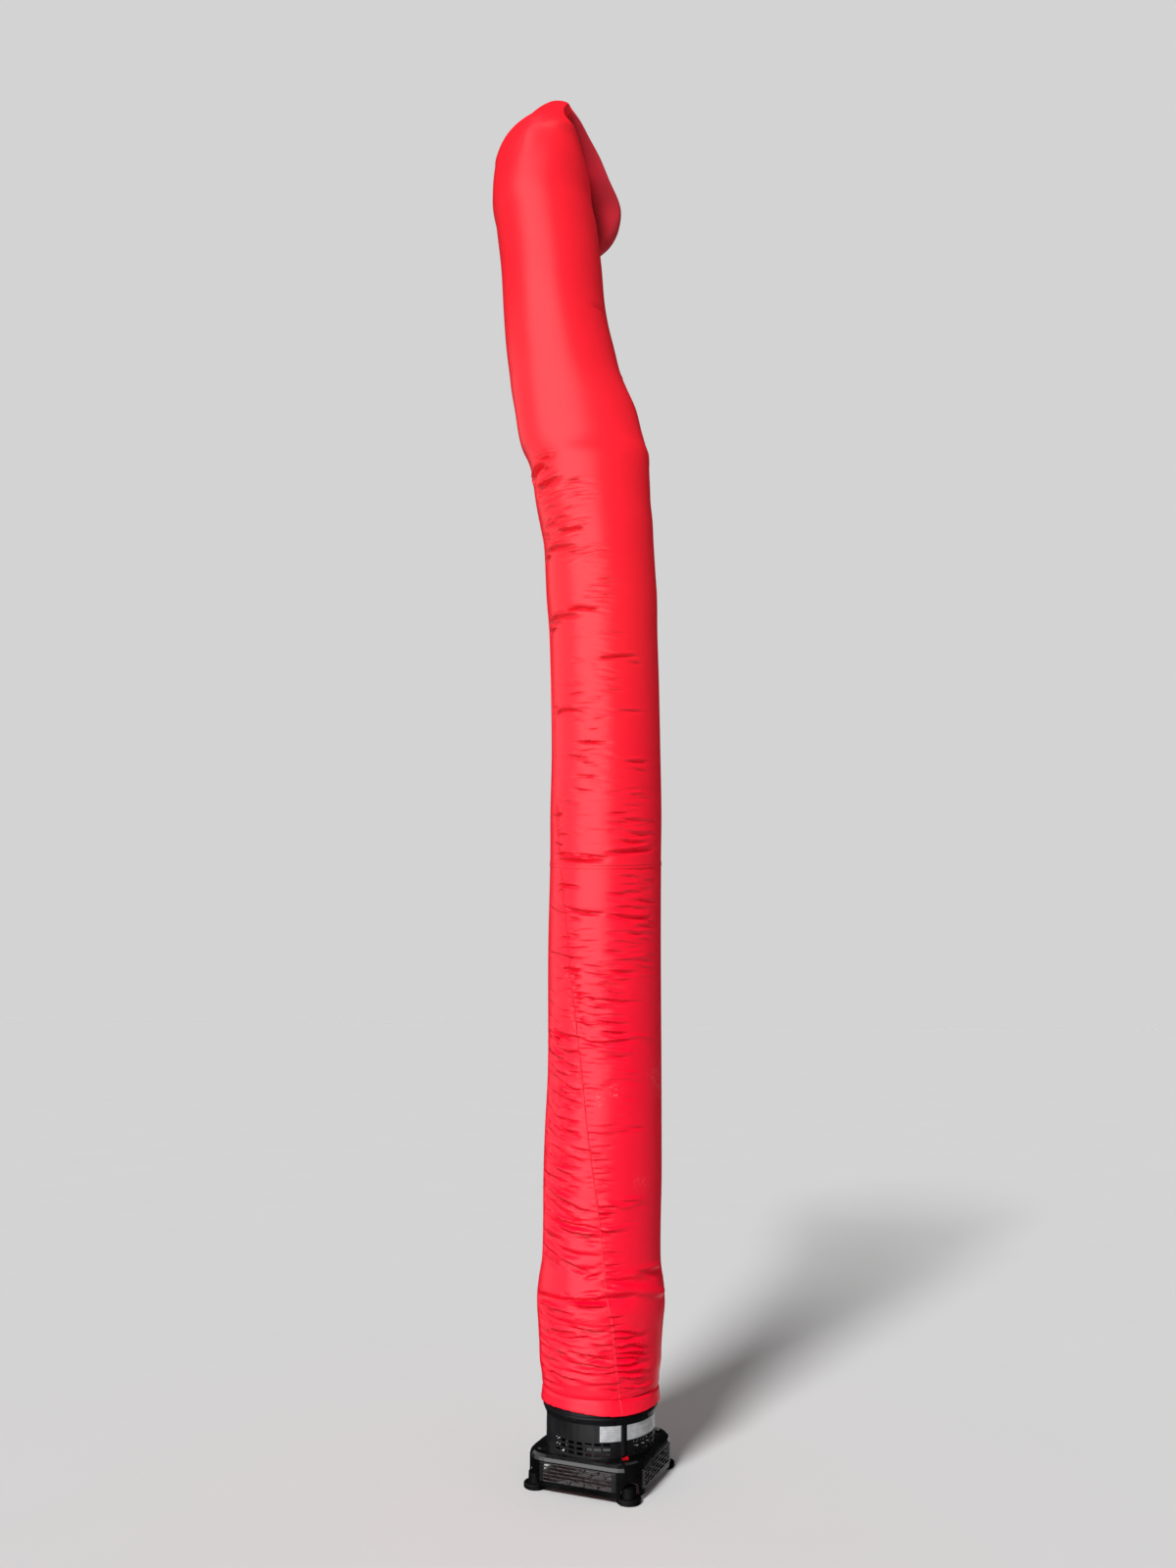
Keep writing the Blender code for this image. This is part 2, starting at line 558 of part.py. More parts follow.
def build_screw(parts):
    """Plated screw with a washer, on the rear right boss."""
    top = SCREW_HEAD_HEIGHT
    profile = (
        (0.0, top - SCREW_RECESS_DEPTH),
        (SCREW_RECESS_RADIUS, top - SCREW_RECESS_DEPTH),
        (SCREW_RECESS_RADIUS, top),
        (SCREW_HEAD_RADIUS - SCREW_CHAMFER, top),
        (SCREW_HEAD_RADIUS, top - SCREW_CHAMFER),
        (SCREW_HEAD_RADIUS, SCREW_WASHER_HEIGHT),
        (SCREW_WASHER_RADIUS, SCREW_WASHER_HEIGHT),
        (SCREW_WASHER_RADIUS, 0.0),
        (0.0, 0.0),
    )
    screw = turned("housing_screw", profile, SCREW_STEPS, parts, ZINC)
    screw.location = (BOSS_PLACE, BOSS_PLACE, HOUSING_TOP + BOSS_HEIGHT + GAP)
    return screw


def smooth_column(table, column, place):
    """Read a column of a table at any place with a smooth curve through its rows."""
    last = len(table) - 1
    index = 0
    while index < last - 1 and table[index + 1][0] < place:
        index += 1
    left, right = table[index], table[index + 1]
    span = right[0] - left[0]
    share = min(max((place - left[0]) / span, 0.0), 1.0)

    def slope(row):
        before, after = table[max(row - 1, 0)], table[min(row + 1, last)]
        return (after[column] - before[column]) / (after[0] - before[0])

    start, end = slope(index) * span, slope(index + 1) * span
    square, cube = share ** 2, share ** 3
    return ((2 * cube - 3 * square + 1) * left[column] + (cube - 2 * square + share) * start
            + (3 * square - 2 * cube) * right[column] + (cube - square) * end)


def row_heights(bands):
    """Heights of the cloth's rows, from the table of bands."""
    heights = [bands[0][0]]
    for low, high, steps in bands:
        heights += [low + (high - low) * step / steps for step in range(1, steps + 1)]
    return heights


def flat_direction(bearing):
    """Level unit vector at a bearing from +X."""
    return Vector((cos(bearing), sin(bearing), 0.0))


def crease_depth(height, bearing):
    """Depth of the main creases, the seam's groove and the slow ripple at a place on the tube."""
    depth = sum(RIPPLE * sin(wave * height + turns * bearing) / 2
                for wave, turns in zip(RIPPLE_WAVES, RIPPLE_TURNS))
    depth += SEAM_GROOVE_DEPTH * exp(-((height - PANEL_SEAM) / SEAM_GROOVE_HALF) ** 2)
    for place, middle, half_span, rise, half_height, deepest in CREASES:
        away = (bearing - radians(middle) + pi) % (2 * pi) - pi
        along = away / radians(half_span)
        if abs(along) < 1.0:
            level = (height - place - rise * along) / half_height
            depth += deepest * cos(along * pi / 2) * exp(-level ** 2)
    return depth


def level_ring(height, sway, half_width, half_depth):
    """Level ring of the standing tube, with its creases pressed in."""
    across = flat_direction(SWAY_BEARING)
    away = flat_direction(SWAY_BEARING + pi / 2)
    centre = across * sway + Vector((0, 0, height))
    ring = []
    for index in range(RING_POINTS):
        angle = 2 * pi * index / RING_POINTS
        inward = 0.0
        if height > HEM_BOTTOM + 2 * HEM_HEIGHT:
            inward = crease_depth(height, angle)
        ring.append(centre + across * (half_width - inward) * cos(angle)
                    + away * (half_depth - inward) * sin(angle))
    return ring


def tip_ring(section):
    """Ring of the folded tip, from its outer wall to its inner wall and along the fold line."""
    outer_place, outer_height, inner_place, inner_height, width, pointed, droop = section
    towards = flat_direction(SWAY_BEARING + TIP_TURN)
    crosswise = flat_direction(SWAY_BEARING + TIP_TURN + pi / 2)
    axis = flat_direction(SWAY_BEARING) * TIP_AXIS_SWAY
    outer = axis + towards * outer_place + Vector((0, 0, outer_height))
    inner = axis + towards * inner_place + Vector((0, 0, inner_height))
    middle = (outer + inner) / 2
    half = (inner - outer) / 2
    ring = []
    for index in range(RING_POINTS):
        angle = 2 * pi * index / RING_POINTS - TIP_TURN
        near = cos(angle) * abs(cos(angle)) ** pointed
        side = sin(angle) * width
        drop = droop * (CREST_SLOPE * side - CREST_CURVE * side ** 2)
        ring.append(middle + half * near + crosswise * side + Vector((0, 0, drop)))
    return ring


def add_cloth(name, rings, closed, parts):
    """Skin a list of rings as one sheet of cloth, closed at its last ring where asked."""
    bm = bmesh.new()
    loops = [[bm.verts.new(point) for point in ring] for ring in rings]
    for lower, upper in zip(loops, loops[1:]):
        for index in range(RING_POINTS):
            following = (index + 1) % RING_POINTS
            bm.faces.new((lower[index], lower[following], upper[following], upper[index]))
    if closed:
        bm.faces.new(loops[-1])
    cloth = add_mesh_object(name, mesh_from_bmesh(name, bm), parts, RED_NYLON)
    sheet = cloth.modifiers.new("cloth", "SOLIDIFY")
    sheet.thickness = CLOTH
    sheet.offset = -1.0
    return cloth


def build_lower_panel(parts):
    """Hem, cuff, bulge and lower stretch of the tube."""
    rings = []
    for height in row_heights(LOWER_ROWS):
        proud = HEM_PROUD if height < HEM_BOTTOM + HEM_HEIGHT / 2 else 0.0
        half = smooth_column(LOWER_SECTIONS, 2, height) + proud
        top = min(height, PANEL_SEAM - GAP)
        rings.append(level_ring(top, smooth_column(LOWER_SECTIONS, 1, height), half, half))
    return add_cloth("tube_lower", rings, False, parts)


def build_upper_panel(parts):
    """Upper stretch of the tube with its elbow, folded tip and hanging closed end."""
    rings = []
    for height in row_heights(UPPER_ROWS):
        half = smooth_column(UPPER_SECTIONS, 2, height)
        depth = sqrt(max(2 * TUBE_RADIUS ** 2 - half ** 2, 0.0))
        rings.append(level_ring(height, smooth_column(UPPER_SECTIONS, 1, height), half, depth))
    rings += [tip_ring(section) for section in TIP_SECTIONS]
    return add_cloth("tube_upper", rings, True, parts)


def centre_on_floor(objects):
    """Hang all objects from one empty that centres their bounding box on the Z axis."""
    bpy.context.view_layer.update()
    depsgraph = bpy.context.evaluated_depsgraph_get()
    corners = []
    for obj in objects:
        shape = obj.evaluated_get(depsgraph)
        corners += [obj.matrix_world @ Vector(corner) for corner in shape.bound_box]
    middle_x = (min(c.x for c in corners) + max(c.x for c in corners)) / 2
    middle_y = (min(c.y for c in corners) + max(c.y for c in corners)) / 2
    root = bpy.data.objects.new("stand_point", None)
    objects[0].users_collection[0].objects.link(root)
    root.location = (-middle_x, -middle_y, 0.0)
    for obj in objects:
        obj.parent = root
    return root


def main():
    """Build the whole object."""
    clear_scene()
    parts = new_collection(OBJECT_NAME)
    cutters = new_collection("cutters")
    build_housing(parts, cutters)
    for side, turn in side_turns():
        build_grille("grille_" + side, turn, parts, cutters)
    build_drum(parts, cutters)
    build_collar(parts)
    build_feet(parts)
    build_duct(parts)
    build_switch(parts, cutters)
    build_screw(parts)
    build_lower_panel(parts)
    build_upper_panel(parts)
    pieces = list(parts.objects)
    root = centre_on_floor(pieces)
    for cutter in cutters.objects:
        cutter.parent = root


main()
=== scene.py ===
"""Looks of the inflatable air dancer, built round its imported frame.

Two panels of thin red nylon make one tall tube. It is strapped over the outlet of a square black
fan blower, bends at an elbow, and is folded over near its tip. Metres, +Z up; the blower's front
looks along -Y. Bearings on the tube are degrees round its axis, counted from the direction in
which it sways, so -90 is the side that faces the viewer.
"""
from __future__ import annotations

import logging
import math
from dataclasses import dataclass
from enum import Enum
from typing import Any, Callable, Sequence

import bmesh
import bpy
import numpy as np
from mathutils import Matrix, Vector

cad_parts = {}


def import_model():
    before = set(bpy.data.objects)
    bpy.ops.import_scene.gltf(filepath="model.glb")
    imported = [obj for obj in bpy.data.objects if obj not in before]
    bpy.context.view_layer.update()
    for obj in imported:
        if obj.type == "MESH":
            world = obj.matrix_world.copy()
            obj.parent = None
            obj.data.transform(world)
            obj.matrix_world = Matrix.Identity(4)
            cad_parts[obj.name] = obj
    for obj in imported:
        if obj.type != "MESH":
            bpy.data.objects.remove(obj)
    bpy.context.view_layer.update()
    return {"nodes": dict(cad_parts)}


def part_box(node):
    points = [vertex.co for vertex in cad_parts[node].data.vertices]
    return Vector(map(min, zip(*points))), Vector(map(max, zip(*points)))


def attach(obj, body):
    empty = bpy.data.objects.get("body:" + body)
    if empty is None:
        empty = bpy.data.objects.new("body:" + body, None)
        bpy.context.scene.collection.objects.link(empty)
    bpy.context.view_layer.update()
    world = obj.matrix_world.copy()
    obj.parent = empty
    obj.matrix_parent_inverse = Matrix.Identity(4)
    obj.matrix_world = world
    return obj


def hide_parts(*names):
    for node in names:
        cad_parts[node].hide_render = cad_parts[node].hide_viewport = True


LOG = logging.getLogger("air_dancer")
MM = 0.001

Path = Sequence[tuple[float, float]]
Array = np.ndarray
Socket = bpy.types.NodeSocket
Material = bpy.types.Material
Piece = bpy.types.Object


class Body(Enum):
    """Moving bodies of the frame."""

    DANCER = "dancer"
    ROCKER = "rocker"


class Slot(Enum):
    """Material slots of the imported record."""

    NYLON = "red_nylon"
    HOUSING = "black_housing"
    DRUM = "black_drum"
    FOOT = "black_foot"
    ROCKER = "red_rocker"
    ZINC = "zinc"


def link(name: str, data: bpy.types.ID) -> Piece:
    """Put data into the scene as an object.

    Args:
        name: the object's name.
        data: what it shows.

    Returns:
        The object.
    """
    thing = bpy.data.objects.new(name, data)
    bpy.context.scene.collection.objects.link(thing)
    return thing


def make_mesh(name: str, bm: bmesh.types.BMesh, finish: Material) -> bpy.types.Mesh:
    """Turn a bmesh, which is freed, into a mesh with its material.

    Args:
        name: the mesh's name.
        bm: its shape.
        finish: its material.

    Returns:
        The mesh.
    """
    mesh = bpy.data.meshes.new(name)
    bm.to_mesh(mesh)
    bm.free()
    mesh.materials.append(finish)
    return mesh


# ---------------------------------------------------------------------------------------------
# Materials
# ---------------------------------------------------------------------------------------------


def linear(colour: str) -> tuple[float, float, float, float]:
    """Turn an sRGB hex colour to a linear colour.

    Args:
        colour: six hex digits after a hash.

    Returns:
        Red, green, blue and an alpha of 1.
    """
    parts = [int(colour[place:place + 2], 16) / 255 for place in (1, 3, 5)]
    flat = [part / 12.92 if part <= 0.04045 else ((part + 0.055) / 1.055) ** 2.4 for part in parts]
    return (flat[0], flat[1], flat[2], 1.0)


def feed(tree: bpy.types.NodeTree, node: bpy.types.Node, inputs: dict[Any, Any]) -> None:
    """Set or link a node's inputs.

    Args:
        tree: the node tree.
        node: the node.
        inputs: socket name or number to a value, or to the socket that feeds it.
    """
    for key, value in inputs.items():
        if isinstance(value, Socket):
            tree.links.new(value, node.inputs[key])
        else:
            node.inputs[key].default_value = value


def add_node(tree: bpy.types.NodeTree, kind: str, inputs: dict[Any, Any], **settings: Any) -> bpy.types.Node:
    """Add a node with its settings and links.

    Args:
        tree: the node tree.
        kind: the node's type name, less its beginning.
        inputs: socket name or number to a value, or to the socket that feeds it.
        settings: the node's own properties.

    Returns:
        The new node.
    """
    node = tree.nodes.new("ShaderNode" + kind)
    for name, value in settings.items():
        setattr(node, name, value)
    feed(tree, node, inputs)
    return node


class Look:
    """A material, or the world, while its nodes are laid. Each method gives the new node's output."""

    def __init__(self, owner: Material | bpy.types.World, shader: str = "Principled BSDF") -> None:
        """Open its node tree.

        Args:
            owner: what the nodes dress.
            shader: the name of its shader node.
        """
        owner.use_nodes = True
        self.owner = owner
        self.tree = owner.node_tree
        self.shader = self.tree.nodes[shader]

    def add(self, kind: str, output: str | int = 0, inputs: dict[Any, Any] | None = None,
            **settings: Any) -> Socket:
        """Add a node."""
        return add_node(self.tree, kind, inputs or {}, **settings).outputs[output]

    def place(self) -> Socket:
        """Read the object's own coordinates."""
        return self.add("TexCoord", "Object")

    def attribute(self, name: str) -> Socket:
        """Read a value that the mesh carries."""
        return self.add("Attribute", "Fac", attribute_name=name)

    def stretch(self, vector: Socket, scale: tuple[float, float, float]) -> Socket:
        """Scale coordinates along each axis."""
        return self.add("Mapping", 0, {"Vector": vector, "Scale": scale})

    def noise(self, vector: Socket, scale: float, detail: float, roughness: float = 0.5,
              distortion: float = 0.0) -> Socket:
        """Lay noise."""
        return self.add("TexNoise", "Fac", {"Vector": vector, "Scale": scale, "Detail": detail,
                                            "Roughness": roughness, "Distortion": distortion})

    def ranged(self, value: Socket, low: Socket | float, high: float, start: float = 0.0,
               end: float = 1.0) -> Socket:
        """Turn the span from start to end into the span from low to high."""
        return self.add("MapRange", "Result", {"Value": value, "From Min": start, "From Max": end,
                                               "To Min": low, "To Max": high})

    def maths(self, operation: str, *values: Socket | float) -> Socket:
        """Work out a formula."""
        return self.add("Math", 0, dict(enumerate(values)), operation=operation)

    def blend(self, share: Socket, one: Socket | str, two: str) -> Socket:
        """Mix two colours."""
        first = linear(one) if isinstance(one, str) else one
        return self.add("Mix", 2, {0: share, 6: first, 7: linear(two)}, data_type="RGBA")

    def bump(self, height: Socket, strength: Socket | float, depth_mm: float, **under: Socket) -> Socket:
        """Raise the surface, over another bump's Normal where one is given."""
        return self.add("Bump", 0, {"Height": height, "Strength": strength,
                                    "Distance": depth_mm * MM, **under})

    def finish(self, inputs: dict[str, Any]) -> Any:
        """Feed the shader, and hand over what the nodes dress."""
        feed(self.tree, self.shader, inputs)
        return self.owner


@dataclass(frozen=True)
class RipstopNylon:
    """Coated nylon, woven thin: a satin face, lighter at a glance, with a fine crosswise crinkle."""

    name: str = "ripstop_nylon"
    new: str = "#F6002B"           # the colour low down
    paler_top: str = "#F81C2D"         # the colour high up, paler and pinker
    paler_heights: tuple[float, float] = (1.3, 2.6)      # it turns paler between these heights, in metres
    doubled_and_painted_shade: str = "#B2172A"       # darker where two layers lie together and no light comes through, as at the seams; on the hanging flap it is painted shade
    dust: str = "#F0A0A4"
    grit: tuple[float, float] = (0.52, 0.68)        # the noise between which dust begins and is full
    through: float = 0.035         # painted glow: an emission standing in for daylight that comes through one thin layer
    thread_mm: float = 2.6         # real threads lie 0.25 mm apart; drawn this coarse to show
    thread_depth_mm: float = 0.2
    crinkle_mm: tuple[float, float] = (46.0, 8.0)   # length and pitch of the fine crinkles
    crinkle_depth_mm: float = 3.0
    crinkle_strength: tuple[float, float] = (0.10, 0.60)     # taut, and slack
    roughness: tuple[float, float] = (0.295, 0.415)
    doubled_rougher: float = 0.5

    def build(self) -> Material:
        """Make the material.

        Returns:
            The material.
        """
        look = Look(bpy.data.materials.new(self.name))
        cloth = look.add("UVMap", "UV", uv_map="cloth")
        layers = look.attribute("doubled_and_painted_shade")
        patches = look.noise(cloth, 3.1, 3.0)
        height = look.add("SeparateXYZ", "Y", {"Vector": cloth})
        # Paler towards the top, broken up by large patches.
        paler_share = look.ranged(look.maths("MULTIPLY_ADD", patches, 0.5, height), 0.0, 1.0, *self.paler_heights)
        # Darker where the mask is full: the layered seams, and painted shade on the hanging flap.
        colour = look.blend(layers, look.blend(paler_share, self.new, self.paler_top), self.doubled_and_painted_shade)
        dusty = look.ranged(look.noise(cloth, 95.0, 5.0, 0.7), 0.0, 0.75, *self.grit)
        marks = look.maths("MULTIPLY", dusty, look.attribute("scuff"))
        shine = look.ranged(patches, *self.roughness)
        return look.finish({
            "Base Color": look.blend(marks, colour, self.dust),
            # Painted glow: single layers emit their own red; none where the darker mask is full.
            "Emission Color": linear(self.new),
            "Emission Strength": look.ranged(layers, self.through, 0.0),
            "Roughness": look.maths("MULTIPLY_ADD", layers, self.doubled_rougher, shine),
            "IOR": 1.53,
            "Specular IOR Level": 0.33,
            "Normal": self.relief(look, cloth),
        })

    def relief(self, look: Look, cloth: Socket) -> Socket:
        """Lay the fine crinkle, and the weave over it.

        Args:
            look: the material.
            cloth: the cloth's own coordinates, in metres.

        Returns:
            The normal that both give.
        """
        length, pitch = self.crinkle_mm
        stretched = look.stretch(cloth, (1 / (length * MM), 1 / (pitch * MM), 1.0))
        crinkle = look.noise(stretched, 1.0, 2.5, 0.55, 0.25)
        loose = look.ranged(look.attribute("slack"), *self.crinkle_strength)
        creased = look.bump(crinkle, loose, self.crinkle_depth_mm)
        turns = math.tau / (self.thread_mm * MM)
        warp, weft = (look.maths("SINE", look.maths(
            "MULTIPLY", look.add("SeparateXYZ", axis, {"Vector": cloth}), turns)) for axis in "XY")
        return look.bump(look.maths("MULTIPLY", warp, weft), 0.10, self.thread_depth_mm, Normal=creased)


@dataclass(frozen=True)
class MouldedPlastic:
    """Injection-moulded plastic: an even colour, a fine spark-eroded grain and rubbed patches."""

    name: str
    body: str
    worn: str
    roughness: float
    rough_worn: float
    grain_mm: float = 1.6          # the mould's grain is 0.3 mm; drawn this coarse to show
    grain_depth: float = 0.12
    coat: float = 0.0
    shine: float = 0.30
    rubbed: tuple[float, float] = (0.42, 0.72)      # the noise between which wear begins and is full

    def build(self) -> Material:
        """Make the material.

        Returns:
            The material.
        """
        look = Look(bpy.data.materials.new(self.name))
        place = look.place()
        grain = look.noise(place, 1 / (self.grain_mm * MM), 2.0)
        wear = look.ranged(look.noise(place, 14.0, 4.0, 0.62), 0.0, 1.0, *self.rubbed)
        return look.finish({
            "Base Color": look.blend(wear, self.body, self.worn),
            "Roughness": look.ranged(wear, self.roughness, self.rough_worn),
            "Normal": look.bump(grain, self.grain_depth, 0.3),
            "IOR": 1.53,
            "Specular IOR Level": self.shine,
            "Coat Weight": self.coat,
            "Coat Roughness": 0.12,
        })


@dataclass(frozen=True)
class ZincPlate:
    """Zinc-plated steel: a pale metal with a faint yellow-green bloom in the plating."""

    name: str = "zinc_plated_steel"
    bright: str = "#D9DDCF"
    bloom: str = "#B4BE96"

    def build(self) -> Material:
        """Make the material.

        Returns:
            The material.
        """
        look = Look(bpy.data.materials.new(self.name))
        patches = look.noise(look.place(), 320.0, 3.0)
        colour = look.blend(patches, self.bright, self.bloom)
        return look.finish({"Base Color": colour, "Roughness": look.ranged(patches, 0.22, 0.42),
                            "Metallic": 0.2})


@dataclass(frozen=True)
class PolyesterPlate:
    """Blank silver polyester plate: a fine brushed film, grey where it has rubbed."""

    name: str = "silver_polyester_film"
    film: str = "#DFE0E2"
    rubbed: str = "#B4B6B9"
    brush_mm: float = 1.4          # the brushing is finer; drawn this coarse to show

    def build(self) -> Material:
        """Make the material.

        Returns:
            The material.
        """
        look = Look(bpy.data.materials.new(self.name))
        place = look.place()
        brushed = look.noise(look.stretch(place, (12.0, 12.0, 1 / (self.brush_mm * MM))), 1.0, 2.0)
        mixed = look.maths("MULTIPLY", brushed, look.noise(place, 60.0, 3.0))
        colour = look.blend(look.ranged(mixed, 0.0, 1.0, 0.12, 0.42), self.rubbed, self.film)
        return look.finish({"Base Color": colour, "Roughness": 0.38, "Metallic": 0.35})


@dataclass(frozen=True)
class StudioPaper:
    """Matt white studio paper under the object."""

    name: str = "studio_paper"
    body: str = "#D6D6D6"
    fibre: str = "#D3D3D3"

    def build(self) -> Material:
        """Make the material.

        Returns:
            The material.
        """
        look = Look(bpy.data.materials.new(self.name))
        colour = look.blend(look.noise(look.place(), 2.0, 2.0), self.body, self.fibre)
        return look.finish({"Base Color": colour, "Roughness": 0.9, "Specular IOR Level": 0.0})


class Finishes:
    """All finishes of the object, each built once."""

    def __init__(self) -> None:
        """Build them: body and worn colour, roughness fresh and worn."""
        self.nylon = RipstopNylon().build()
        self.housing = MouldedPlastic("glossy_abs", "#050506", "#0C0C0D", 0.15, 0.26, coat=0.4,
                                      shine=0.5).build()
        # Painted highlight: the grille is painted a lighter grey than the housing, so that its webs look
        # lit.
        self.grille = MouldedPlastic("abs_painted_lighter", "#1A1A1C", "#252527", 0.18, 0.30, coat=0.4,
                                     shine=0.5).build()
        self.drum = MouldedPlastic("satin_abs", "#121214", "#1A1A1D", 0.32, 0.44, grain_depth=0.18,
                                   shine=0.42).build()
        self.foot = MouldedPlastic("hard_rubber", "#040405", "#0B0B0C", 0.46, 0.62, grain_depth=0.25,
                                   shine=0.2).build()
        self.rocker = MouldedPlastic("polycarbonate_rocker", "#C8101C", "#B40C18", 0.16, 0.28,
                                     grain_depth=0.04, coat=0.5).build()
        self.zinc = ZincPlate().build()
        self.plate = PolyesterPlate().build()


# ---------------------------------------------------------------------------------------------
# Cloth tube
# ---------------------------------------------------------------------------------------------


def read_table(table: Sequence[Sequence[float]], column: int, places: Array) -> Array:
    """Read a column of a table at many places with a smooth curve through its rows.

    Args:
        table: rows whose first entry is the place.
        column: the column to read.
        places: where to read it.

    Returns:
        The column's values there.
    """
    knots = np.array([row[0] for row in table])
    values = np.array([row[column] for row in table])
    slopes = np.gradient(values, knots)
    slopes[1:-1] = (values[2:] - values[:-2]) / (knots[2:] - knots[:-2])
    index = np.clip(np.searchsorted(knots, places, side="right") - 1, 0, len(knots) - 2)
    span = knots[index + 1] - knots[index]
    share = np.clip((places - knots[index]) / span, 0.0, 1.0)
    square, cube = share ** 2, share ** 3
    return ((2 * cube - 3 * square + 1) * values[index] + (cube - 2 * square + share) * slopes[index] * span
            + (3 * square - 2 * cube) * values[index + 1] + (cube - square) * slopes[index + 1] * span)


def smooth_step(values: Array) -> Array:
    """Ease from 0 to 1."""
    clipped = np.clip(values, 0.0, 1.0)
    return clipped * clipped * (3 - 2 * clipped)


@dataclass(frozen=True)
class Crease:
    """One fold pressed into the cloth: a trough under a roll, or a ridge where its depth is negative."""

    width: float                   # millimetres from the middle to where it fades
    depth: float                   # millimetres
    path: Path                     # bearing in degrees and station in metres, end to end
    peak: float = 0.5              # share of the path at which it is deepest
    roll: float = 0.45             # height of the roll over it, as a share of the depth

    # Shares of the width: the trough above and below its path, the roll's place and its width
    STEEP, GENTLE, ROLL_PLACE, ROLL_WIDTH = 0.70, 1.5, 1.75, 0.95
    PRESSED = 1.25                 # the trough's depth over the depth given
    BLUNT = 0.7                    # under 1, so that a fold stays full towards its ends

    def profile(self, distance: Array, along: Array) -> tuple[Array, Array]:
        """Shape across and along the fold.

        Args:
            distance: metres above its path.
            along: share of the path, from 0 to 1.

        Returns:
            Metres outwards, and the taper towards its ends.
        """
        width = self.width * MM
        before = along < self.peak
        phase = np.where(before, along / (2 * self.peak), 0.5 + (along - self.peak) / (2 - 2 * self.peak))
        taper = np.sin(np.pi * np.clip(phase, 0, 1)) ** self.BLUNT
        if self.depth < 0:
            return -self.depth * MM * taper * np.exp(-(distance / width) ** 2), taper
        steep, gentle = self.STEEP * width, self.GENTLE * width
        trough = np.exp(-(distance / np.where(distance > 0, steep, gentle)) ** 2)
        roll = np.exp(-((distance - self.ROLL_PLACE * width) / (self.ROLL_WIDTH * width)) ** 2)
        return self.PRESSED * self.depth * MM * taper * (self.roll * roll - trough), taper


@dataclass(frozen=True)
class WrinkleField:
    """A patch of short wrinkles, scattered at random but always alike."""

    bearing: float
    station: float
    half_span: float               # degrees
    half_height: float             # metres
    count: int
    length: float                  # millimetres
    depth: float                   # millimetres
    slant: float                   # rise along the wrinkle, metres per metre
    seed: int
    width: float = 3.5             # millimetres

    def creases(self) -> list[Crease]:
        """Scatter the wrinkles.

        Returns:
            The wrinkles.
        """
        dice = np.random.default_rng(self.seed)
        found = []
        for _ in range(self.count):
            across, up = dice.uniform(-1, 1, 2)
            reach = self.length * MM * dice.uniform(0.55, 1.35) / 2
            slope = self.slant + dice.normal(0, 0.07)
            bend = dice.normal(0, 0.05) * reach
            half_turn = math.degrees(reach / Tube.RADIUS)
            middle = self.bearing + across * self.half_span
            height = self.station + up * self.half_height
            path = ((middle - half_turn, height - slope * reach), (middle, height + bend),
                    (middle + half_turn, height + slope * reach))
            found.append(Crease(self.width * dice.uniform(0.75, 1.2), self.depth * dice.uniform(0.35, 1.25),
                                path, dice.uniform(0.25, 0.75), 0.35))
        return found


@dataclass(frozen=True)
class FoldFan:
    """Long folds that leave one side of the tube steeply and flatten out, one above the other."""

    start_bearing: float
    end_bearing: float
    low: float                     # station of the lowest fold's end
    high: float
    count: int
    drop: float                    # metres from start to end
    width: float
    depth: float
    seed: int = 3
    shortest: float = 0.22         # as shares of the way from start to end
    longest: float = 0.55

    def creases(self) -> list[Crease]:
        """Lay the folds.

        Returns:
            The folds.
        """
        dice = np.random.default_rng(self.seed)
        found = []
        for index in range(self.count):
            end = self.low + (self.high - self.low) * (index + dice.uniform(0.1, 0.9)) / self.count
            first = dice.uniform(0.0, 1.0 - self.shortest)
            last = min(1.0, first + dice.uniform(self.shortest, self.longest))
            drop = self.drop * dice.uniform(0.6, 1.3)
            path = []
            for step in range(5):
                share = first + (last - first) * step / 4
                path.append((self.start_bearing + (self.end_bearing - self.start_bearing) * share,
                             end + drop * (1 - share) ** 2 + dice.normal(0, 0.0012)))
            found.append(Crease(self.width * dice.uniform(0.8, 1.2), self.depth * dice.uniform(0.4, 1.2),
                                tuple(path), dice.uniform(0.25, 0.75), 0.5))
        return found


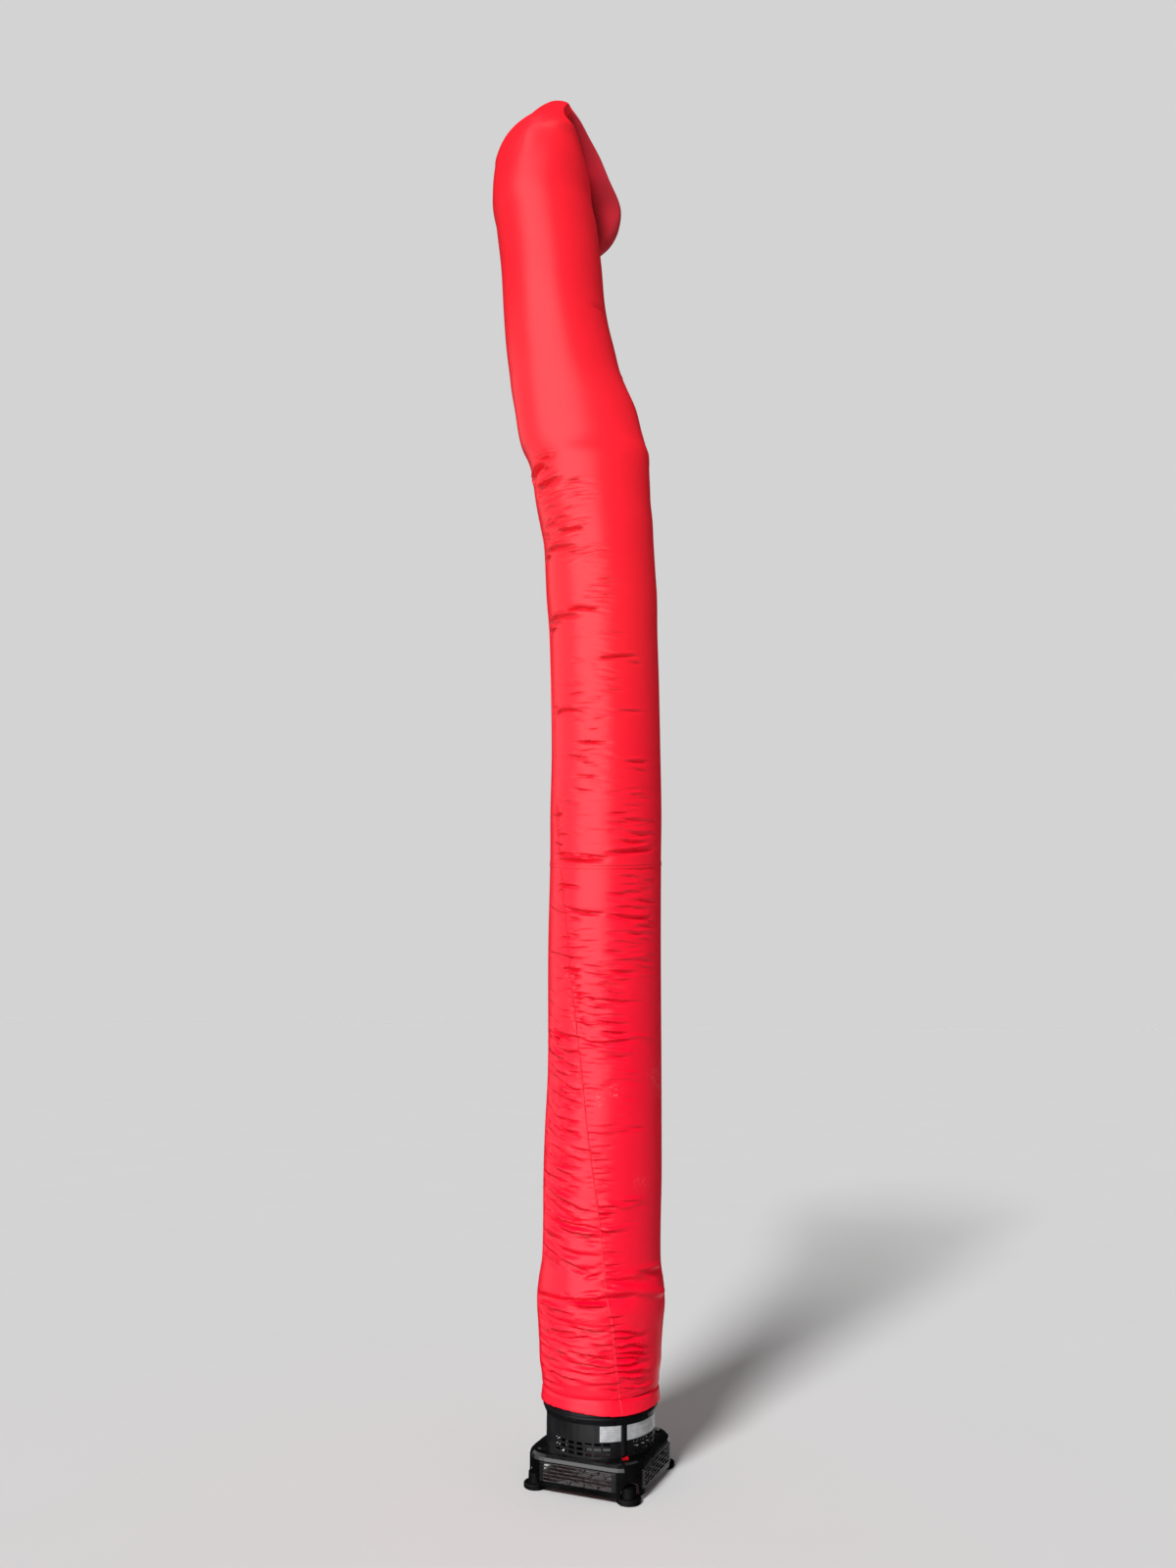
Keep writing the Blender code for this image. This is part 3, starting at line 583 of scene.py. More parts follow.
class Tube:
    """Shape of the inflated tube: its swaying axis, elbow and folded tip, and the seam along it."""

    RADIUS = 0.1575
    SWAY = math.radians(22.3)
    TIP_TURN = math.radians(45)
    TIP_AXIS_SWAY = -0.178
    CREST_PLACE = -0.077           # along the fold line, from its middle; negative is to the right
    CREST_LEFT = 0.087             # fall of the fold line on either side of its peak
    CREST_RIGHT = 0.066
    CREST_ROUND = 0.008
    JOIN = (3.60, 3.70)            # the standing tube passes into the tip between these stations
    FOLD_OVER = 4.060              # past here the tube hangs flat, in two layers
    HEM_TOP = 0.2225
    COLLAR_TOP = 0.262             # the cloth lies on the collar up to here
    BIG_FOLD = 14.0                # millimetres deep
    DEEPEST = 0.012                # folds that cross never go deeper, or stand prouder, than these
    PROUDEST = 0.009
    SEATED_DEEPEST = 3.6 * MM      # the same for the cloth that lies on the collar
    SEATED_FADE = 40 * MM          # the cloth is free of the collar this far above it
    # The hem's band, its stitched groove, its flared edge and the cloth eased over it: how far each
    # stands out (or in), and the height over which it does so, both in millimetres
    HEM_BAND, HEM_BAND_RISE = 1.8, 2.5
    HEM_GROOVE, HEM_GROOVE_WIDTH, HEM_GROOVE_UP = 3.0, 3.0, 2.0
    HEM_FLARE, HEM_FLARE_RISE = 2.6, 34
    HEM_EASED, HEM_EASED_RISE, HEM_EASED_FALL = 2.5, 16, 50
    HEM_EASED_TOP = 0.33
    # A crease tells out to this many of its widths, and slackens the cloth to this many; one that is
    # this many millimetres deep slackens it fully
    REACH, SLACK_REACH, SLACK_DEPTH = 5, 3.5, 4
    ROUND_BELOW = 1.6              # the tube is a circle up to here, and keeps its girth above

    # Station (height while it stands), sway of the axis, half width
    SECTIONS = (
        (0.188, 0.0000, 0.1516), (0.246, 0.0000, 0.1516), (0.286, -0.0005, 0.1573),
        (0.329, -0.0005, 0.1615), (0.370, 0.0000, 0.1645), (0.417, 0.0010, 0.1690),
        (0.446, 0.0010, 0.1692), (0.480, 0.0015, 0.1662), (0.505, 0.0015, 0.1623),
        (0.535, 0.0025, 0.1583), (0.617, 0.0040, 0.1577), (0.743, 0.0060, 0.1598),
        (0.870, 0.0085, 0.1587), (1.024, 0.0125, 0.1560), (1.344, 0.0130, 0.1575),
        (1.600, 0.0168, 0.1572), (1.735, 0.0180, 0.1588), (1.915, 0.0190, 0.1568),
        (2.111, 0.0162, 0.1578), (2.268, 0.0128, 0.1584), (2.380, 0.0082, 0.1628),
        (2.450, 0.0045, 0.1628), (2.549, -0.0010, 0.1637), (2.611, -0.0080, 0.1686),
        (2.673, -0.0168, 0.1721), (2.736, -0.0220, 0.1755), (2.783, -0.0264, 0.1783),
        (2.825, -0.0334, 0.1851), (2.857, -0.0457, 0.1879), (2.901, -0.0569, 0.1876),
        (2.976, -0.0712, 0.1846), (3.040, -0.0900, 0.1770), (3.096, -0.1037, 0.1700),
        (3.175, -0.1176, 0.1661), (3.254, -0.1301, 0.1607), (3.335, -0.1388, 0.1576),
        (3.456, -0.1471, 0.1570), (3.580, -0.1610, 0.1575), (3.700, -0.1760, 0.1575),
    )
    # Station, outer wall's place towards the fold and height, inner wall's place and height,
    # half width along the fold line, how pointed the ring's ends are, share of the droop
    TIP = (
        (3.560, -0.1565, 3.560, 0.1565, 3.5600, 0.158, 0.00, 0.0),
        (3.700, -0.1550, 3.700, 0.1535, 3.7000, 0.158, 0.00, 0.0),
        (3.762, -0.1500, 3.762, 0.1350, 3.7640, 0.160, 0.02, 0.2),
        (3.831, -0.1400, 3.830, 0.1050, 3.8250, 0.158, 0.05, 0.5),
        (3.894, -0.1290, 3.867, 0.0680, 3.8650, 0.163, 0.12, 0.8),
        (3.945, -0.1140, 3.910, 0.0330, 3.8900, 0.146, 0.24, 1.0),
        (3.992, -0.0736, 3.954, 0.0080, 3.9100, 0.135, 0.38, 1.0),
        (4.035, -0.0340, 4.004, 0.0110, 3.9255, 0.130, 0.50, 1.0),
        (4.075, 0.0029, 4.008, 0.0150, 3.9275, 0.121, 0.50, 1.0),
        (4.120, 0.0148, 3.990, 0.0190, 3.9255, 0.124, 0.38, 1.0),
        (4.177, 0.0570, 3.954, 0.0300, 3.9105, 0.130, 0.26, 1.0),
        (4.238, 0.1000, 3.905, 0.0570, 3.8785, 0.133, 0.16, 0.8),
        (4.305, 0.1400, 3.850, 0.0915, 3.8290, 0.141, 0.08, 0.6),
        (4.382, 0.1740, 3.782, 0.1220, 3.7680, 0.149, 0.04, 0.4),
        (4.463, 0.2320, 3.705, 0.1615, 3.7000, 0.150, 0.00, 0.2),
        (4.523, 0.2420, 3.645, 0.1680, 3.6400, 0.136, 0.00, 0.1),
        (4.564, 0.2360, 3.604, 0.1760, 3.6000, 0.104, 0.00, 0.0),
        (4.594, 0.2140, 3.584, 0.1930, 3.5830, 0.052, 0.00, 0.0),
        (4.606, 0.2060, 3.581, 0.2010, 3.5805, 0.012, 0.00, 0.0),
    )
    # Station, bearing of the lengthwise seam
    SEAM = (
        (0.188, -69.5), (0.219, -71.0), (0.298, -75.0), (0.351, -77.5), (0.405, -80.0), (0.458, -84.0),
        (0.573, -89.0), (0.699, -95.0), (0.832, -103.0), (0.962, -110.0), (1.137, -119.0),
        (1.300, -127.0), (1.463, -136.0), (1.600, -145.0), (1.696, -151.0), (1.895, -160.0),
        (2.104, -170.0), (2.400, -182.0), (2.700, -190.0), (3.100, -196.0), (3.600, -200.0),
        (4.300, -200.0), (4.600, -200.0),
    )

    def __init__(self, axis: Vector) -> None:
        """Stand the tube on the blower's axis.

        Args:
            axis: a point on the blower's axis.
        """
        self.axis = np.array((axis.x, axis.y, 0.0))
        self.across = self.level(self.SWAY)
        self.away = self.level(self.SWAY + math.pi / 2)
        self.towards = self.level(self.SWAY + self.TIP_TURN)
        self.crosswise = self.level(self.SWAY + self.TIP_TURN + math.pi / 2)
        self.creases: list[Crease] = []

    @staticmethod
    def level(bearing: float) -> Array:
        """Level unit vector at a bearing from +X."""
        return np.array((math.cos(bearing), math.sin(bearing), 0.0))

    def standing(self, bearing: Array, station: Array) -> Array:
        """Points of the upright tube.

        Args:
            bearing: radians round the axis.
            station: metres along the tube.

        Returns:
            An array of points.
        """
        half = read_table(self.SECTIONS, 2, station)
        flattened = np.sqrt(np.maximum(2 * self.RADIUS ** 2 - half ** 2, 0))
        depth = np.where(station > self.ROUND_BELOW, flattened, half)
        sway = read_table(self.SECTIONS, 1, station)
        side = (sway + half * np.cos(bearing))[..., None] * self.across
        back = (depth * np.sin(bearing))[..., None] * self.away
        return self.axis + side + back + station[..., None] * np.array((0, 0, 1.0))

    def tip(self, bearing: Array, station: Array) -> Array:
        """Points of the folded tip.

        Args:
            bearing: radians round the axis.
            station: metres along the tube.

        Returns:
            An array of points.
        """
        outer, outer_z, inner, inner_z, width, pointed, droop = (
            read_table(self.TIP, column, station) for column in range(1, 8))
        angle = bearing - self.TIP_TURN
        near = np.cos(angle) * np.abs(np.cos(angle)) ** pointed
        side = np.sin(angle) * width
        place = (outer + inner) / 2 + (inner - outer) / 2 * near
        height = (outer_z + inner_z) / 2 + (inner_z - outer_z) / 2 * near
        height = height + droop * self.crest(side)
        root = self.axis + self.across * self.TIP_AXIS_SWAY
        return (root + place[..., None] * self.towards + side[..., None] * self.crosswise
                + height[..., None] * np.array((0, 0, 1.0)))

    def crest(self, side: Array) -> Array:
        """Fall of the fold line from its peak, at places along it.

        Args:
            side: metres along the fold line, from its middle.

        Returns:
            Metres, 0 at the peak and negative beside it.
        """
        past = side - self.CREST_PLACE
        slope = np.where(past > 0, self.CREST_LEFT, self.CREST_RIGHT)
        return -slope * (np.hypot(past, self.CREST_ROUND) - self.CREST_ROUND)

    def bare(self, bearing: Array, station: Array) -> Array:
        """Points of the whole tube without its creases.

        Args:
            bearing: radians round the axis.
            station: metres along the tube.

        Returns:
            An array of points.
        """
        low, high = self.JOIN
        share = smooth_step((station - low) / (high - low))[..., None]
        return (1 - share) * self.standing(bearing, station) + share * self.tip(bearing, station)

    def normals(self, bearing: Array, station: Array) -> Array:
        """Unit normals of the bare tube, outwards.

        Args:
            bearing: radians round the axis.
            station: metres along the tube.

        Returns:
            An array of unit vectors.
        """
        step = 0.004
        round_way = self.bare(bearing + step, station) - self.bare(bearing - step, station)
        along = self.bare(bearing, station + step) - self.bare(bearing, station - step)
        normal = np.cross(round_way, along)
        return normal / np.maximum(np.linalg.norm(normal, axis=-1, keepdims=True), 1e-9)

    def seam_bearing(self, station: Array) -> Array:
        """Bearing of the lengthwise seam, in degrees."""
        return read_table(self.SEAM, 1, station)

    def relief(self, bearing: Array, station: Array) -> tuple[Array, Array]:
        """How far the cloth stands out of the bare tube, and how slack it is.

        Args:
            bearing: radians round the axis, rows by columns.
            station: metres along the tube, rows by columns.

        Returns:
            Metres outwards, and slackness from 0 to 1.
        """
        degrees = np.degrees(bearing)
        big = np.zeros_like(station)
        out = np.zeros_like(station)
        slack = np.zeros_like(station)
        rows = station[:, 0]
        for crease in self.creases:
            width = crease.width * MM
            heights = [height for _, height in crease.path]
            reach = self.REACH * width
            first = int(np.searchsorted(rows, min(heights) - reach))
            last = int(np.searchsorted(rows, max(heights) + reach))
            if last <= first:
                continue
            part = slice(first, last)
            distance, along = self.distance(degrees[part], station[part], crease.path)
            shift, taper = crease.profile(distance, along)
            (big if crease.depth > self.BIG_FOLD else out)[part] += shift
            fade = np.exp(-(distance / (self.SLACK_REACH * width)) ** 2)
            slack[part] += taper * fade * min(abs(crease.depth) / self.SLACK_DEPTH, 1)
        seated = 1 - smooth_step((station - self.COLLAR_TOP) / self.SEATED_FADE)
        low, high = self.DEEPEST * (1 - seated) + self.SEATED_DEEPEST * seated, self.PROUDEST
        out = np.where(out < 0, low * np.tanh(out / low), high * np.tanh(out / high))
        return out + big * (1 - seated) + self.hem(station), np.clip(slack, 0, 1)

    def hem(self, station: Array) -> Array:
        """How far the folded hem stands out, with its stitched groove.

        Args:
            station: metres along the tube.

        Returns:
            Metres outwards.
        """
        above = (station - self.HEM_TOP) / MM
        band = 1 - smooth_step(above / self.HEM_BAND_RISE)
        groove = np.exp(-((above - self.HEM_GROOVE_UP) / self.HEM_GROOVE_WIDTH) ** 2)
        flare = smooth_step(-above / self.HEM_FLARE_RISE)
        eased = smooth_step(above / self.HEM_EASED_RISE)
        eased = eased * smooth_step((self.HEM_EASED_TOP - station) / (self.HEM_EASED_FALL * MM))
        return (self.HEM_BAND * band - self.HEM_GROOVE * groove + self.HEM_FLARE * flare
                + self.HEM_EASED * eased) * MM

    def distance(self, degrees: Array, station: Array, path: Path) -> tuple[Array, Array]:
        """Distance from a path on the cloth, and the share of the path reached.

        Args:
            degrees: bearings of the points.
            station: their stations.
            path: bearings and stations of the path.

        Returns:
            Metres, positive above the path, and shares from 0 to 1.
        """
        scale = self.RADIUS * math.pi / 180
        origin = path[0][0]
        flat_x = ((degrees - origin + 180) % 360 - 180) * scale
        corners = [((turn - origin) * scale, height) for turn, height in path]
        lengths = [math.dist(one, two) for one, two in zip(corners, corners[1:])]
        total = sum(lengths)
        best = np.full_like(station, 9.0)
        signed = np.full_like(station, 9.0)
        along = np.zeros_like(station)
        before = 0.0
        for (x0, y0), (x1, y1), length in zip(corners, corners[1:], lengths):
            dx, dy = (x1 - x0) / length, (y1 - y0) / length
            run = (flat_x - x0) * dx + (station - y0) * dy
            side = (station - y0) * dx - (flat_x - x0) * dy
            past = run - np.clip(run, 0, length)
            gap = np.hypot(side, past)
            closer = gap < best
            best = np.where(closer, gap, best)
            signed = np.where(closer, np.where(side < 0, -gap, gap), signed)
            along = np.where(closer, (before + np.clip(run, 0, length)) / total, along)
            before += length
        return signed, along

    def points(self, bearing: Array, station: Array, lift: Array | float = 0.0) -> tuple[Array, Array]:
        """Points of the creased cloth, and its slackness.

        Args:
            bearing: radians round the axis, rows by columns.
            station: metres along the tube, rows by columns.
            lift: metres by which it stands further out.

        Returns:
            Points, and slackness from 0 to 1.
        """
        out, slack = self.relief(bearing, station)
        out = out + lift
        return self.bare(bearing, station) + out[..., None] * self.normals(bearing, station), slack


def lay_sheet(bearing: Array, station: Array, points: Array, marks: dict[str, Array]) -> bmesh.types.BMesh:
    """Lay a sheet of cloth through a grid of points.

    Args:
        bearing: radians round the tube's axis, rows by columns.
        station: metres along the tube, rows by columns.
        points: where each point lies.
        marks: name of an attribute to its value at each point.

    Returns:
        The sheet, with its own coordinates in metres as its UV map.
    """
    rows, columns = station.shape
    bm = bmesh.new()
    bmesh.ops.create_grid(bm, x_segments=columns - 1, y_segments=rows - 1, size=0.5)
    sheet = bm.loops.layers.uv.new("cloth")
    layers = [(bm.verts.layers.float.new(name), values) for name, values in marks.items()]
    for vert in bm.verts:
        place = round((vert.co.y + 0.5) * (rows - 1)), round((vert.co.x + 0.5) * (columns - 1))
        for loop in vert.link_loops:
            loop[sheet].uv = (bearing[place] * Tube.RADIUS, station[place])
        for layer, values in layers:
            vert[layer] = values[place]
        vert.co = points[place]
    return bm


@dataclass
class ClothPanel:
    """One panel of the tube, from a lower edge to an upper edge."""

    name: str
    node: str
    tube: Tube
    bands: Sequence[tuple[float, float, float]]      # from station, to station, row pitch
    columns: int
    flat: tuple[float, float]
    edge_shift: Callable[[Array, Array], Array]     # bends its rows to its edges
    closed: bool = False
    closed_above: float = 3.50                        # the open end that is sewn shut is above here
    lap_lift: float = 0.0                             # its lower edge lies on the panel below
    lap_fade: float = 16 * MM
    fold_fade: float = 0.09                           # past the tip's fold it lies in two layers, and the flap there is painted darker as painted shade
    thickness: float = 1.2 * MM
    dense_bearing: float = -128.0                     # columns are closest here
    dense_share: float = 0.42

    def stations(self) -> Array:
        """Stations of the rows.

        Returns:
            Metres along the tube, from the lower edge up.
        """
        rows = [self.bands[0][0]]
        for low, high, pitch in self.bands:
            steps = max(1, round((high - low) / pitch))
            rows += [low + (high - low) * (step + 1) / steps for step in range(steps)]
        return np.array(rows)

    def bearings(self) -> Array:
        """Bearings of the columns, in radians, once round.

        Returns:
            One bearing more than there are columns, for the row closes on itself.
        """
        even = np.linspace(0, math.tau, self.columns + 1)
        start = math.radians(self.dense_bearing)
        return start + even - self.dense_share * np.sin(even)

    def build(self, finish: Material) -> Piece:
        """Skin the panel.

        Args:
            finish: the cloth's material.

        Returns:
            The finished piece.
        """
        rows, columns = self.stations(), self.bearings()
        station, bearing = np.meshgrid(rows, columns, indexing="ij")
        station = self.edge_shift(bearing, station)
        lift = self.lap_lift * (1 - smooth_step((rows - rows[0]) / self.lap_fade))[:, None]
        points, slack = self.tube.points(bearing, station, lift)
        bm = lay_sheet(bearing, station, points, {
            "slack": slack,
            "scuff": Scuffs().amount(bearing, station),
            # Painted shade: the flap past the tip's fold gets the darker colour.
            "doubled_and_painted_shade": smooth_step((station - Tube.FOLD_OVER) / self.fold_fade),
        })
        bmesh.ops.remove_doubles(bm, verts=bm.verts, dist=0.01 * MM)
        if self.closed:
            bm.verts.ensure_lookup_table()
            rim = [edge for edge in bm.edges if edge.is_boundary
                   and min(vert.co.z for vert in edge.verts) > self.closed_above]
            bmesh.ops.holes_fill(bm, edges=rim, sides=0)
        return finish_piece(self.name, bm, finish, Body.DANCER, (self.node,),
                            self.thicken)

    def thicken(self, piece: Piece) -> None:
        """Args:
            piece: the panel's piece.
        """
        wall = piece.modifiers.new("cloth", "SOLIDIFY")
        wall.thickness = self.thickness
        wall.offset = -1.0


@dataclass(frozen=True)
class Scuffs:
    """Dusty marks on the cloth: bearing, station, half span in degrees, half height in metres."""

    marks: tuple[tuple[float, float, float, float], ...] = (
        (-24.0, 1.010, 12.0, 0.030), (-18.0, 0.965, 9.0, 0.022), (-80.0, 0.975, 5.0, 0.014),
        (-96.0, 0.955, 4.0, 0.012), (-50.0, 0.740, 7.0, 0.012), (150.0, 0.900, 16.0, 0.040),
        (60.0, 1.300, 10.0, 0.030),
    )

    def amount(self, bearing: Array, station: Array) -> Array:
        """How dusty each point is, from 0 to 1.

        Args:
            bearing: radians round the axis.
            station: metres along the tube.

        Returns:
            The dust at each point.
        """
        total = np.zeros_like(station)
        for middle, height, half_span, half_height in self.marks:
            turn = (np.degrees(bearing) - middle + 180) % 360 - 180
            total += np.exp(-(turn / half_span) ** 2 - ((station - height) / half_height) ** 2)
        return np.clip(total, 0, 1)


def finish_piece(name: str, bm: bmesh.types.BMesh, finish: Material, body: Body,
                 stands_for: Sequence[str] = (), dress: Callable[[Piece], None] | None = None,
                 smooth_below: float = 40.0) -> Piece:
    """Turn a bmesh into a piece of the object.

    Args:
        name: the piece's name.
        bm: its mesh, which is freed.
        finish: its material.
        body: the body that it rides on.
        stands_for: the frame's nodes that it replaces.
        dress: what is done to the object once it rides on its body.
        smooth_below: edges flatter than this many degrees are shaded smooth.

    Returns:
        The piece.
    """
    mesh = make_mesh(name, bm, finish)
    mesh.shade_smooth()
    mesh.set_sharp_from_angle(angle=math.radians(smooth_below))
    piece = link(name, mesh)
    if stands_for:
        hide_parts(*stands_for)
    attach(piece, body.value)
    if dress is not None:
        dress(piece)
    LOG.info("%s: %d faces", name, len(mesh.polygons))
    return piece


